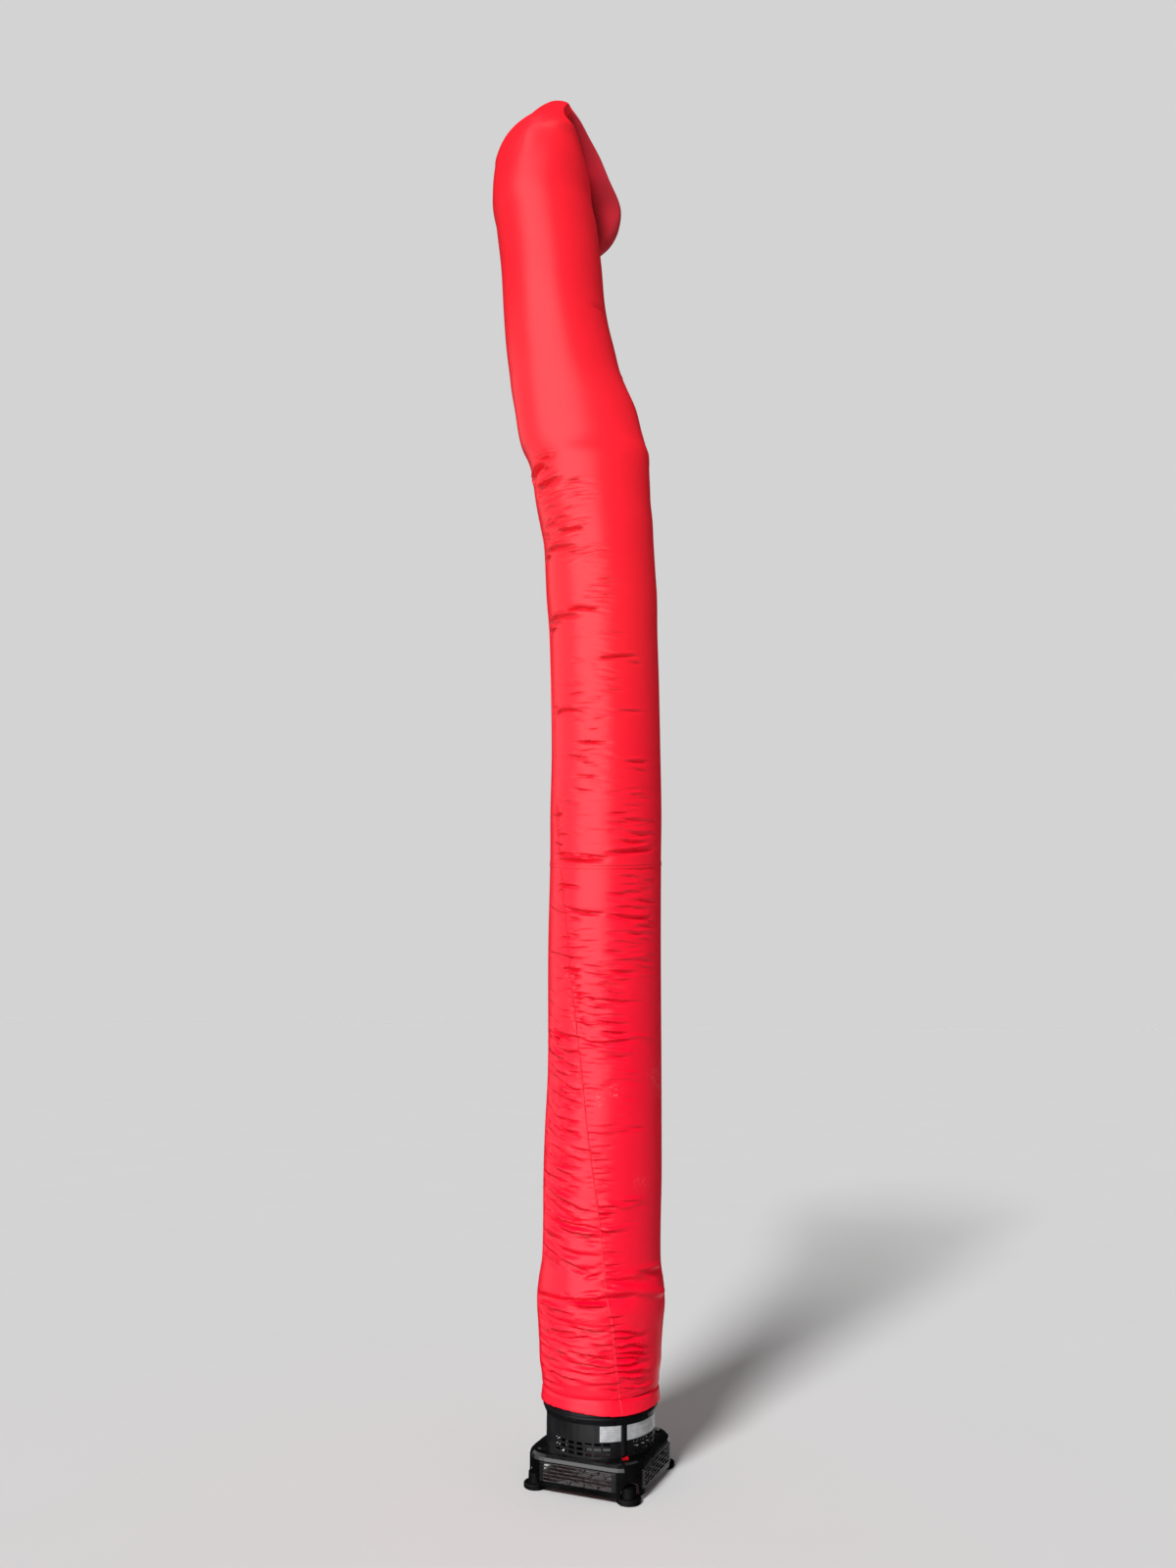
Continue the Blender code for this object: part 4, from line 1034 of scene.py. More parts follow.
@dataclass
class AirTube:
    """The red tube: two panels, their creases, the lengthwise seam and the hem."""

    tube: Tube
    nylon: Material
    panel_seam: float = 1.592
    seam_dip: float = 0.028        # the panel seam hangs this much lower at the front
    hem_bottom: float = 0.188
    lap: float = 0.007             # the upper panel's edge lies this far over the lower one
    seam_width: float = 4.5 * MM

    SEAM_END = 3.95                # the lengthwise seam ends here, in the tip's fold
    SEAM_STEP = 4 * MM
    PRESSED = 1.2                  # how much deeper than their rows the creases are pressed
    PLAIN_TOP = 1.30               # the lower panel's rows bend towards its upper edge from here
    BENT_HEIGHT = 0.30             # and the upper one's are level again this far above the seam
    HALF_JOINT = 0.4 * MM          # half the gap between the two panels' rows
    HEM_EASE = 0.03                # the hem's uneven edge is level again this far up
    FRAY = 0.5 * MM                # how far the hem's edge is frayed, in two waves round it
    # Belts of folds at the back: their stations, and the bearings between which they lie
    BACK_BELTS = (0.30, 0.36, 0.45, 0.52, 0.66, 0.72, 0.98, 1.11, 1.31, 1.45, 1.52, 1.66, 1.74, 1.87,
                  2.01, 2.16, 2.29, 2.36, 2.49, 2.56, 2.66, 2.72, 2.80, 2.88)
    BACK_SPAN = (40, 148)
    BACK_COUNT = 5                 # folds in each belt
    # Bearing, and how far the hem's lower edge is pulled up there in metres
    HEM_EDGE = (
        (-180, 0.004), (-150, 0.0075), (-131, 0.0095), (-108, 0.0075), (-88, 0.003), (-69, 0.0005),
        (-49, 0.0015), (-15, 0.005), (60, 0.002), (140, 0.001), (180, 0.004),
    )
    # Creases that show: width mm, depth mm, then the bearing and station of each point of the path
    UPPER_CREASES = (
        (4.5, 3.5, -52, 3.25, -43, 3.268, -12, 3.278),
        (3.5, 1.5, -36, 3.18, -20, 3.17),
        (4, 2.5, -26, 3.072, -10, 3.06),
        (4, 3.0, -156, 2.80, -138, 2.794, -122, 2.79),
        (6, 12.0, -176, 2.722, -168, 2.745, -156, 2.760, -138, 2.767),
        (4, 5.0, -152, 2.778, -140, 2.782, -126, 2.779),
        (3.5, 4.0, -146, 2.742, -132, 2.752),
        (5.5, 8.0, -160, 2.693, -146, 2.70, -134, 2.705, -121, 2.712),
        (4, 2.8, -128, 2.678, -115, 2.673, -100, 2.671),
        (4, 3.0, -118, 2.56, -98, 2.556),
        (4.5, 7.5, -140, 2.546, -121, 2.542, -103, 2.537),
        (4.9, 7.0, -168, 2.497, -150, 2.503, -136, 2.499, -112, 2.486),
        (3.5, 2.5, -114, 2.487, -98, 2.479, -80, 2.474),
        (4.5, 6.5, -174, 2.480, -165, 2.487, -152, 2.485),
        (5, -2.3, -126, 2.438, -99, 2.461, -74, 2.47),
        (3.9, 6.1, -134, 2.30, -116, 2.302, -96, 2.29),
        (4.9, 7.4, -170, 2.285, -154, 2.295, -140, 2.29, -114, 2.278),
        (3.5, 3.0, -160, 2.278, -132, 2.272),
        (4, 4.5, -170, 2.262, -148, 2.262),
        (3.9, 5.7, -95, 2.148, -76, 2.156, -56, 2.163),
        (3.5, 3.5, -64, 2.146, -52, 2.138),
        (3.9, 5.7, -158, 2.003, -142, 2.014, -129, 2.009, -110, 1.994),
        (3.5, 2.5, -162, 2.032, -148, 2.028),
        (4, 2.8, -78, 1.997, -50, 2.003),
        (4, 3.2, -142, 1.886, -110, 1.863),
        (4, 4.5, -70, 1.855, -44, 1.863),
        (3.5, 2.5, -64, 1.838, -46, 1.832),
        (4, 3.8, -130, 1.786, -115, 1.776, -100, 1.768),
        (4, 3.2, -152, 1.772, -134, 1.75, -116, 1.736),
        (4.5, 5.5, -156, 1.713, -138, 1.719),
        (4.5, -2.0, -104, 1.748, -76, 1.756, -44, 1.78),
        (5, 8.5, -90, 1.602, -72, 1.606, -50, 1.616, -34, 1.622),
        (4, 6.5, -150, 1.594, -128, 1.586, -104, 1.580, -86, 1.580),
        (4, 4.5, -80, 1.64, -66, 1.632, -48, 1.636),
        (4, 4.0, -70, 1.664, -46, 1.652),
        (4, 4.5, -122, 1.602, -104, 1.592, -84, 1.588),
        (4, 5.0, -152, 1.606, -136, 1.606, -122, 1.598),
        (4, 4.5, -152, 1.636, -140, 1.632),
        (3.5, 3.0, -146, 1.662, -130, 1.656),
    )
    LOWER_CREASES = (
        (4, 5.0, -148, 1.522, -131, 1.517, -117, 1.51),
        (3.5, 3.0, -146, 1.506, -134, 1.504),
        (4.5, 7.5, -142, 1.466, -126, 1.451, -111, 1.442, -90, 1.437),
        (4, 5.0, -90, 1.438, -64, 1.428, -38, 1.43),
        (3.5, 2.8, -170, 1.472, -150, 1.452, -136, 1.441, -115, 1.432),
        (4, 4.5, -136, 1.434, -114, 1.42),
        (3.5, 3.2, -136, 1.387, -115, 1.379),
        (4, 3.4, -163, 1.34, -140, 1.33, -124, 1.32, -106, 1.311),
        (4.5, -3.6, -98, 1.313, -64, 1.322, -32, 1.335),
        (3.5, 2.8, -117, 1.303, -97, 1.296, -76, 1.285),
        (4, 4.5, -136, 1.293, -116, 1.287),
        (4, 6.0, -166, 1.131, -145, 1.11, -133, 1.102),
        (4, 6.0, -156, 1.134, -135, 1.116, -121, 1.105),
        (4, 6.0, -158, 1.07, -140, 1.052, -130, 1.042, -116, 1.032),
        (4, 5.0, -120, 1.108, -95, 1.097, -77, 1.103, -58, 1.107),
        (5, -3.8, -117, 1.098, -90, 1.082, -58, 1.072),
        (3.5, -3.2, -72, 1.123, -50, 1.115, -31, 1.11),
        (3.5, -2.5, -90, 1.032, -53, 1.018),
        (4.5, 5.5, -168, 1.026, -150, 1.006, -134, 0.992, -113, 0.971),
        (4.5, 5.5, -172, 0.997, -155, 0.972, -135, 0.954, -110, 0.939),
        (4, 4.0, -170, 0.947, -150, 0.912, -128, 0.888, -110, 0.88),
        (4.5, 4.5, -172, 0.908, -154, 0.884),
        (4.5, 5.0, -150, 0.786, -136, 0.7708, -125, 0.7632, -117, 0.752),
        (5.5, 6.0, -166, 0.763, -143, 0.7481, -129, 0.735),
        (5.5, 8.5, -162, 0.725, -141, 0.7061, -125, 0.6937, -115, 0.6813, -104, 0.672),
        (5, -3.5, -158, 0.730, -138, 0.7150, -123, 0.7020, -106, 0.6895),
        (8, 7.0, -160, 0.698, -135, 0.6737, -120, 0.6655, -110, 0.659),
        (5.5, 9.0, -158, 0.669, -144, 0.6551, -131, 0.6448, -117, 0.6400, -106, 0.6386, -92, 0.633),
        (4.5, 7.5, -168, 0.655, -152, 0.6421, -135, 0.6290, -120, 0.6207, -108, 0.618),
        (9, 7.0, -172, 0.620, -158, 0.607, -144, 0.600, -128, 0.597),
        (4.5, 6.0, -162, 0.603, -140, 0.5849, -124, 0.5760, -111, 0.565),
        (3.8, 4.0, -108, 0.6021, -100, 0.5994, -92, 0.597),
        (8, 6.0, -168, 0.575, -150, 0.564, -132, 0.557),
        (4.5, 7.0, -172, 0.553, -144, 0.5416, -129, 0.530),
        (5, 8.0, -150, 0.559, -134, 0.5519, -124, 0.5464, -113, 0.5354, -97, 0.522),
        (5, 7.0, -106, 0.514, -97, 0.5195, -90, 0.527),
        (4.5, -4.0, -74, 0.7095, -61, 0.7054, -44, 0.698),
        (5, -5.0, -97, 0.7033, -88, 0.7006, -75, 0.6895, -53, 0.683),
        (4.5, -5.0, -91, 0.629, -79, 0.6359, -66, 0.6345),
        (4, -3.5, -101, 0.787, -90, 0.7845, -80, 0.776),
        (4, -3.5, -99, 0.7336, -91, 0.7322, -84, 0.726),
        # The belt, where the loose cloth settles over the cuff
        (8, 7.5, -166, 0.450, -158, 0.4535, -147, 0.457, -135, 0.4575, -124, 0.4575, -110, 0.460),
        (5, 5.0, -126, 0.4593, -111, 0.4624, -101, 0.4643, -88, 0.468),
        (4.5, -4.5, -128, 0.453, -111, 0.4535, -101, 0.454, -83, 0.4535),
        (3.8, 5.0, -120, 0.4475, -101, 0.448, -83, 0.4475),
        (4.5, -4.5, -158, 0.4405, -140, 0.4405, -130, 0.438),
        (4.5, 6.5, -158, 0.433, -137, 0.4315, -127, 0.4296, -114, 0.425),
        (9, 3.6, -96, 0.503, -77, 0.507, -64, 0.508, -48, 0.504, -28, 0.497),
        (9.0, -12.5, -84, 0.487, -71, 0.4885, -59, 0.4838, -47, 0.477, -34, 0.468, -8, 0.458),
        (11, 8.0, -94, 0.470, -79, 0.4673, -70, 0.470, -58, 0.474),
        (7, 7.5, -52, 0.525, -37, 0.5181, -12, 0.514),
        # The cuff, left of the seam and right of it
        (4.2, 5.5, -158, 0.4105, -149, 0.4012, -134, 0.395),
        (4.2, 6.0, -160, 0.3759, -148, 0.3734, -136, 0.3703, -125, 0.370),
        (4.2, 6.0, -150, 0.3802, -130, 0.3808, -113, 0.380),
        (4.0, 6.0, -117, 0.398, -105, 0.3901, -93, 0.3876, -82, 0.3913),
        (4.2, 5.5, -135, 0.3641, -115, 0.3678, -99, 0.378),
        (4.2, 5.5, -144, 0.337, -133, 0.3314, -122, 0.327),
        (4.5, 6.5, -164, 0.314, -145, 0.306, -132, 0.304),
        (4.2, 6.0, -122, 0.337, -109, 0.3326, -97, 0.3283, -80, 0.330),
        (4.0, 5.5, -104, 0.318, -93, 0.3246, -86, 0.3221, -76, 0.315),
        (4.2, 7.0, -119, 0.308, -105, 0.3079, -95, 0.3067, -88, 0.3023, -74, 0.3017),
        (4.5, 6.5, -164, 0.282, -147, 0.274, -133, 0.2751, -118, 0.2696, -109, 0.270),
        (4.2, 5.0, -165, 0.247, -152, 0.2498, -140, 0.2504, -126, 0.248),
        (3.8, 5.0, -98, 0.3586, -88, 0.3536, -79, 0.358),
        (3.8, 5.0, -90, 0.3431, -78, 0.341),
        (3.8, 5.5, -90, 0.2894, -74, 0.290),
        (3.8, 5.0, -87, 0.2646, -72, 0.264),
        (3.8, 5.0, -88, 0.254, -72, 0.246),
        (3.8, 4.5, -83, 0.4228, -71, 0.424),
        (3.8, 4.5, -83, 0.4037, -72, 0.405),
        (4.0, 5.5, -82, 0.3876, -69, 0.3882, -59, 0.3784, -44, 0.374),
        (4.0, 5.5, -80, 0.3703, -67, 0.3716, -50, 0.369),
        (4.0, 6.0, -79, 0.3555, -69, 0.3505, -62, 0.3549, -39, 0.335),
        (4.0, 6.5, -78, 0.3351, -62, 0.3357, -39, 0.322),
        (4.2, 6.5, -77, 0.3240, -62, 0.3233, -38, 0.303),
        (4.2, 6.5, -78, 0.3098, -68, 0.3048, -56, 0.3073, -42, 0.299),
        (4.2, 6.5, -77, 0.2962, -62, 0.2875, -56, 0.2912, -39, 0.277),
        (4.2, 6.5, -75, 0.2826, -61, 0.2714, -42, 0.266),
        (4.2, 6.5, -75, 0.2702, -61, 0.2615, -42, 0.251),
        (4.2, 6.5, -76, 0.2566, -61, 0.2467, -29, 0.237),
        (4.2, 6.5, -74, 0.2418, -56, 0.2330, -26, 0.230),
    )
    # Patches of short wrinkles: bearing, station, half span, half height, count, length and depth in
    # mm, slant, seed
    FIELDS = (
        (-126, 2.61, 28, 0.095, 36, 90, 3.2, 0.03, 11),
        (-104, 2.43, 20, 0.045, 12, 90, 2.0, -0.06, 12),
        (-100, 2.33, 20, 0.055, 14, 85, 2.2, -0.05, 13),
        (-106, 2.19, 20, 0.065, 14, 85, 2.1, -0.10, 14),
        (-104, 2.06, 24, 0.075, 18, 95, 2.4, -0.12, 15),
        (-106, 1.95, 20, 0.045, 12, 90, 2.4, -0.10, 16),
        (-110, 1.84, 24, 0.050, 14, 85, 2.7, -0.12, 17),
        (-60, 1.74, 24, 0.055, 22, 60, 1.9, 0.06, 18),
        (-58, 1.655, 22, 0.045, 24, 55, 2.2, -0.08, 19),
        (-120, 1.69, 28, 0.065, 16, 65, 1.8, -0.10, 20),
        (-56, 1.52, 22, 0.045, 26, 50, 2.1, -0.10, 21),
        (-58, 1.44, 24, 0.040, 22, 55, 2.1, 0.04, 22),
        (-60, 1.37, 26, 0.040, 24, 55, 2.1, -0.08, 23),
        (-62, 1.29, 28, 0.035, 18, 60, 2.0, -0.06, 24),
        (-120, 1.34, 22, 0.060, 14, 60, 2.2, -0.08, 32),
        (-86, 1.18, 22, 0.085, 16, 80, 2.6, -0.16, 25),
        (-80, 1.03, 22, 0.050, 10, 70, 2.2, -0.10, 26),
        (-80, 0.93, 20, 0.050, 8, 60, 2.0, -0.08, 27),
        (-72, 0.85, 18, 0.040, 7, 55, 2.0, 0.04, 28),
        (-74, 0.655, 18, 0.045, 14, 55, 2.2, -0.04, 29),
        (-108, 0.470, 18, 0.018, 10, 40, 3.0, 0.10, 30),
        (-52, 0.245, 24, 0.014, 9, 60, 2.2, 0.10, 31),
    )
    FANS = (
        FoldFan(-178, -112, 0.86, 1.13, 26, 0.075, 4.0, 5.0, 41),
        FoldFan(-178, -100, 0.60, 0.86, 28, 0.075, 4.0, 5.4, 42),
        FoldFan(-178, -94, 0.510, 0.62, 7, 0.060, 4.0, 4.5, 43),
        FoldFan(-178, -82, 0.240, 0.416, 16, 0.050, 4.2, 4.0, 44),
        FoldFan(-170, -120, 1.15, 1.30, 9, 0.035, 4.0, 2.8, 45),
        FoldFan(-126, -66, 1.115, 1.295, 18, 0.022, 4.0, 4.6, 50, 0.35, 0.85),
        FoldFan(-180, -82, 0.255, 0.410, 8, 0.050, 9.0, 5.0, 46, 0.35, 0.8),
        FoldFan(-180, -90, 0.510, 0.800, 8, 0.080, 9.0, 5.0, 47, 0.30, 0.6),
        FoldFan(-180, -112, 0.800, 1.100, 11, 0.080, 9.0, 5.5, 48, 0.30, 0.7),
    )
    # Short puckers off the lengthwise seam: from station, to station, pitch mm, length mm of the
    # left and right ones, depth mm
    PUCKERS = (
        (0.236, 0.420, 19, 18, 22, 3.5), (0.500, 0.820, 15, 8, 36, 3.4), (0.820, 1.130, 15, 6, 22, 2.6),
        (1.130, 1.300, 11, 8, 32, 4.2), (1.300, 1.560, 15, 6, 16, 2.2), (1.620, 1.760, 13, 6, 22, 3.2),
        (1.760, 3.400, 26, 5, 12, 1.6),
    )
    PUCKER_WIDTH = 3.6             # millimetres

    def back_folds(self) -> list[Crease]:
        """Folds of the side that faces away, where the tube is slack.

        Returns:
            The folds.
        """
        dice = np.random.default_rng(77)
        found = []
        for belt in self.BACK_BELTS:
            for _ in range(self.BACK_COUNT):
                middle = dice.uniform(*self.BACK_SPAN)
                half = dice.uniform(12, 30)
                height = belt + dice.normal(0, 0.022)
                tilt = dice.normal(0, 0.016)
                path = ((middle - half, height - tilt), (middle - half / 3, height + dice.normal(0, 0.005)),
                        (middle + half / 3, height + dice.normal(0, 0.005)), (middle + half, height + tilt))
                found.append(Crease(dice.uniform(3.5, 5.5), dice.uniform(1.5, 6.5), path))
        return found

    def seam_puckers(self) -> list[Crease]:
        """Puckers on either side of the lengthwise seam.

        Returns:
            The puckers.
        """
        dice = np.random.default_rng(55)
        found = []
        for low, high, pitch, left, right, depth in self.PUCKERS:
            station = low
            while station < high:
                seam = float(self.tube.seam_bearing(np.array(station)))
                for length, way in ((left, -1), (right, 1)):
                    reach = math.degrees(length * MM * dice.uniform(0.4, 1.4) / Tube.RADIUS)
                    start = seam + way * 1.5
                    fall = dice.normal(-0.10, 0.10) * length * MM
                    path = ((start, station), (start + way * reach / 2, station + fall / 2 + 0.001),
                            (start + way * reach, station + fall))
                    found.append(Crease(self.PUCKER_WIDTH, depth * dice.uniform(0.4, 1.3), path, 0.15, 0.6))
                station += pitch * MM * dice.uniform(0.65, 1.35)
        return found

    def edge(self, bearing: Array) -> Array:
        """Station of the panel seam round the tube."""
        return self.panel_seam - self.seam_dip * np.cos(bearing + math.pi / 2)

    def lower_shift(self, bearing: Array, station: Array) -> Array:
        """Bend the lower panel's rows to its upper edge, and to the hem's uneven and frayed lower one.

        Args:
            bearing: radians round the axis.
            station: metres along the tube, of the level rows.

        Returns:
            Stations of the bent rows.
        """
        share = smooth_step((station - self.PLAIN_TOP) / (self.panel_seam - self.PLAIN_TOP))
        turn = (np.degrees(bearing) + 180) % 360 - 180
        frayed = self.FRAY * (np.sin(29 * bearing) + np.sin(47 * bearing + 1.0))
        hem = 1 - smooth_step((station - self.hem_bottom) / self.HEM_EASE)
        return (station + share * (self.edge(bearing) - self.panel_seam - self.HALF_JOINT)
                + hem * (read_table(self.HEM_EDGE, 1, turn) + frayed))

    def upper_shift(self, bearing: Array, station: Array) -> Array:
        """Bend the upper panel's rows to its lower edge."""
        share = 1 - smooth_step((station - self.panel_seam) / self.BENT_HEIGHT)
        return station + share * (self.edge(bearing) - self.panel_seam + self.HALF_JOINT)

    def build(self) -> list[Piece]:
        """Build the panels, the seams and the hem's thread.

        Returns:
            All pieces of the tube.
        """
        marks = [Crease(width, depth * self.PRESSED, tuple(zip(path[::2], path[1::2])))
                 for width, depth, *path in self.UPPER_CREASES + self.LOWER_CREASES]
        for patch in (*(WrinkleField(*row) for row in self.FIELDS), *self.FANS):
            marks += patch.creases()
        marks += self.back_folds() + self.seam_puckers()
        ring = tuple((turn, float(self.edge(np.radians(turn)))) for turn in range(-180, 181, 15))
        marks += [Crease(5, 2.2, ring[:13], roll=0.0), Crease(5, 2.2, ring[12:], roll=0.0)]
        self.tube.creases = marks
        lower = ClothPanel(
            "tube_lower_cloth", "tube_lower", self.tube, columns=80, flat=(0.99, 1.47),
            bands=((self.hem_bottom, self.panel_seam, 2.35 * MM),), edge_shift=self.lower_shift)
        upper = ClothPanel(
            "tube_upper_cloth", "tube_upper", self.tube, columns=68, flat=(0.99, 2.95),
            bands=((self.panel_seam - self.lap, 2.86, 2.45 * MM), (2.86, 3.60, 11 * MM),
                   (3.60, 4.60, 8.5 * MM)),
            edge_shift=self.upper_shift, closed=True, lap_lift=1.5 * MM)
        return [lower.build(self.nylon), upper.build(self.nylon), *self.build_seams()]

    def build_strip(self, name: str, degrees: Array, station: Array, width: float,
                    profile: Sequence[float], shade: float) -> Piece:
        """Narrow sewn strip that lies on the cloth.

        Args:
            name: the strip's name.
            degrees: bearings of its middle line.
            station: stations of its middle line.
            width: metres.
            profile: metres out of the cloth at even steps across it.
            shade: how dark its layers make it, from 0 to 1.

        Returns:
            The strip.
        """
        scale = math.degrees(1 / Tube.RADIUS)
        run, rise = np.gradient(degrees / scale), np.gradient(station)
        length = np.hypot(run, rise)
        offsets = np.linspace(-0.5, 0.5, len(profile)) * width
        bearings = np.radians(degrees[:, None] + offsets * (rise / length)[:, None] * scale)
        stations = station[:, None] - offsets * (run / length)[:, None]
        out, _ = self.tube.relief(np.radians(degrees)[:, None], station[:, None])
        points = (self.tube.bare(bearings, stations)
                  + (out + np.array(profile))[..., None] * self.tube.normals(bearings, stations))
        bm = lay_sheet(bearings, stations, points, {"doubled_and_painted_shade": np.full_like(stations, shade)})
        bmesh.ops.recalc_face_normals(bm, faces=bm.faces)
        return finish_piece(name, bm, self.nylon, Body.DANCER)

    def build_seams(self) -> list[Piece]:
        """Build the lengthwise felled seam and the rows of stitches.

        Returns:
            The strips.
        """
        strips = []
        felled = np.array((-0.8, 0.5, 1.0, 1.5, -0.6)) * MM
        for name, low, high in (("lower_felled_seam", self.hem_bottom + 2 * MM, self.panel_seam - 0.02),
                                ("upper_felled_seam", self.panel_seam - 0.003, self.SEAM_END)):
            rows = np.arange(low, high, self.SEAM_STEP)
            strips.append(self.build_strip(name, self.tube.seam_bearing(rows), rows, self.seam_width,
                                           profile=felled, shade=0.38))
        stitch = np.array((-0.6, 0.4, 0.4, -0.6)) * MM
        round_it = np.arange(-180.0, 180.1, 3.0)
        hem_line = np.full_like(round_it, Tube.HEM_TOP + 1.5 * MM)
        strips.append(self.build_strip("hem_stitches", round_it, hem_line, width=2.4 * MM,
                                       profile=stitch, shade=1.0))
        panel_line = self.edge(np.radians(round_it)) + 3 * MM
        strips.append(self.build_strip("panel_stitches", round_it, panel_line, width=2.2 * MM,
                                       profile=stitch + 0.8 * MM, shade=0.4))
        return strips


# ---------------------------------------------------------------------------------------------
# Fan blower
# ---------------------------------------------------------------------------------------------


class Side(Enum):
    """Sides of the square base, each with the bearing that its grille faces, in degrees from +X."""

    FRONT = -90.0
    RIGHT = 0.0
    BACK = 90.0
    LEFT = 180.0


@dataclass
class Grille:
    """Slotted intake grille in one side of the base: rows of slots laid like bricks."""

    side: Side
    rows: int = 5
    slot_height: float = 5.0 * MM
    row_pitch: float = 8.2 * MM
    cell: float = 13.75 * MM       # half a slot, less half of the web in the next row
    web: float = 5.0 * MM          # width of the webs between slots
    thickness: float = 4.4 * MM
    edge: float = 0.9 * MM         # rounding of every edge
    rim: float = 4.0 * MM
    inset: float = 0.1 * MM        # its face lies this far behind the frame node's

    def build(self, finish: Material, axis: Vector) -> Piece:
        """Build the grille in the place of its frame node.

        Args:
            finish: its material.
            axis: a point on the blower's axis.

        Returns:
            The grille.
        """
        node = f"grille_{self.side.name.lower()}"
        low, high = (Vector(corner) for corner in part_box(node))
        length = max(high.x - low.x, high.y - low.y)
        facing = Matrix.Rotation(math.radians(self.side.value + 90), 3, "Z")
        reach = abs((facing.inverted() @ (low - axis)).y), abs((facing.inverted() @ (high - axis)).y)
        across = self.across(length)
        upward = self.upward(high.z - low.z)
        bm = bmesh.new()
        columns, rows = len(across) - 1, len(upward) - 1
        bmesh.ops.create_grid(bm, x_segments=columns, y_segments=rows, size=0.5)
        slots = []
        for face in bm.faces:
            middle = face.calc_center_median()
            column, row = math.floor((middle.x + 0.5) * columns), math.floor((middle.y + 0.5) * rows)
            if self.is_slot(column, row, columns, rows):
                slots.append(face)
        for vert in bm.verts:
            column, row = round((vert.co.x + 0.5) * columns), round((vert.co.y + 0.5) * rows)
            vert.co = (across[column], -max(reach) + self.inset, low.z + upward[row])
        bmesh.ops.delete(bm, geom=slots, context="FACES")
        bmesh.ops.recalc_face_normals(bm, faces=bm.faces)
        if bm.faces[:][0].normal.y > 0:
            bmesh.ops.reverse_faces(bm, faces=bm.faces)
        bmesh.ops.solidify(bm, geom=bm.faces[:], thickness=self.thickness)
        bmesh.ops.rotate(bm, verts=bm.verts, cent=(0, 0, 0), matrix=facing)
        bmesh.ops.translate(bm, verts=bm.verts, vec=(axis.x, axis.y, 0.0))
        bmesh.ops.recalc_face_normals(bm, faces=bm.faces)
        return finish_piece(node + "_moulding", bm, finish, Body.DANCER, (node,),
                            self.round_edges)

    def across(self, length: float) -> list[float]:
        """Edges of the cells along the grille: wide and narrow ones in turn, between its rims.

        Args:
            length: the grille's own, in metres.

        Returns:
            Metres from its middle, in order.
        """
        pair = self.cell + self.web
        count = math.floor((length - 2 * self.rim - self.cell) / pair)
        inner = count * pair + self.cell
        places = [-length / 2, -inner / 2]
        for _ in range(count):
            places += [places[-1] + self.cell, places[-1] + pair]
        return places + [inner / 2, length / 2]

    def upward(self, height: float) -> list[float]:
        """Edges of the cells up the grille: slots and bars in turn, between its rims.

        Args:
            height: the grille's own, in metres.

        Returns:
            Metres over its lower edge, in order.
        """
        inner = (self.rows - 1) * self.row_pitch + self.slot_height
        start = (height - inner) / 2
        places = [0.0]
        for row in range(self.rows):
            places += [start + row * self.row_pitch, start + row * self.row_pitch + self.slot_height]
        return places + [height]

    @staticmethod
    def is_slot(column: int, row: int, columns: int, rows: int) -> bool:
        """Whether a cell is open: every other row, and all but its webs.

        Args:
            column: the cell's column.
            row: the cell's row.
            columns: how many columns there are.
            rows: how many rows there are.

        Returns:
            True for a cell that belongs to a slot.
        """
        if row % 2 == 0 or row >= rows - 1 or column == 0 or column >= columns - 1:
            return False
        web = 3 if row % 4 == 1 else 1
        return (column - 1) % 4 != web

    def round_edges(self, piece: Piece) -> None:
        """Round the moulding's edges.

        Args:
            piece: the moulding.
        """
        bevel = piece.modifiers.new("edges", "BEVEL")
        bevel.width = self.edge
        bevel.segments = 2
        bevel.limit_method = "ANGLE"
        bevel.angle_limit = math.radians(40)


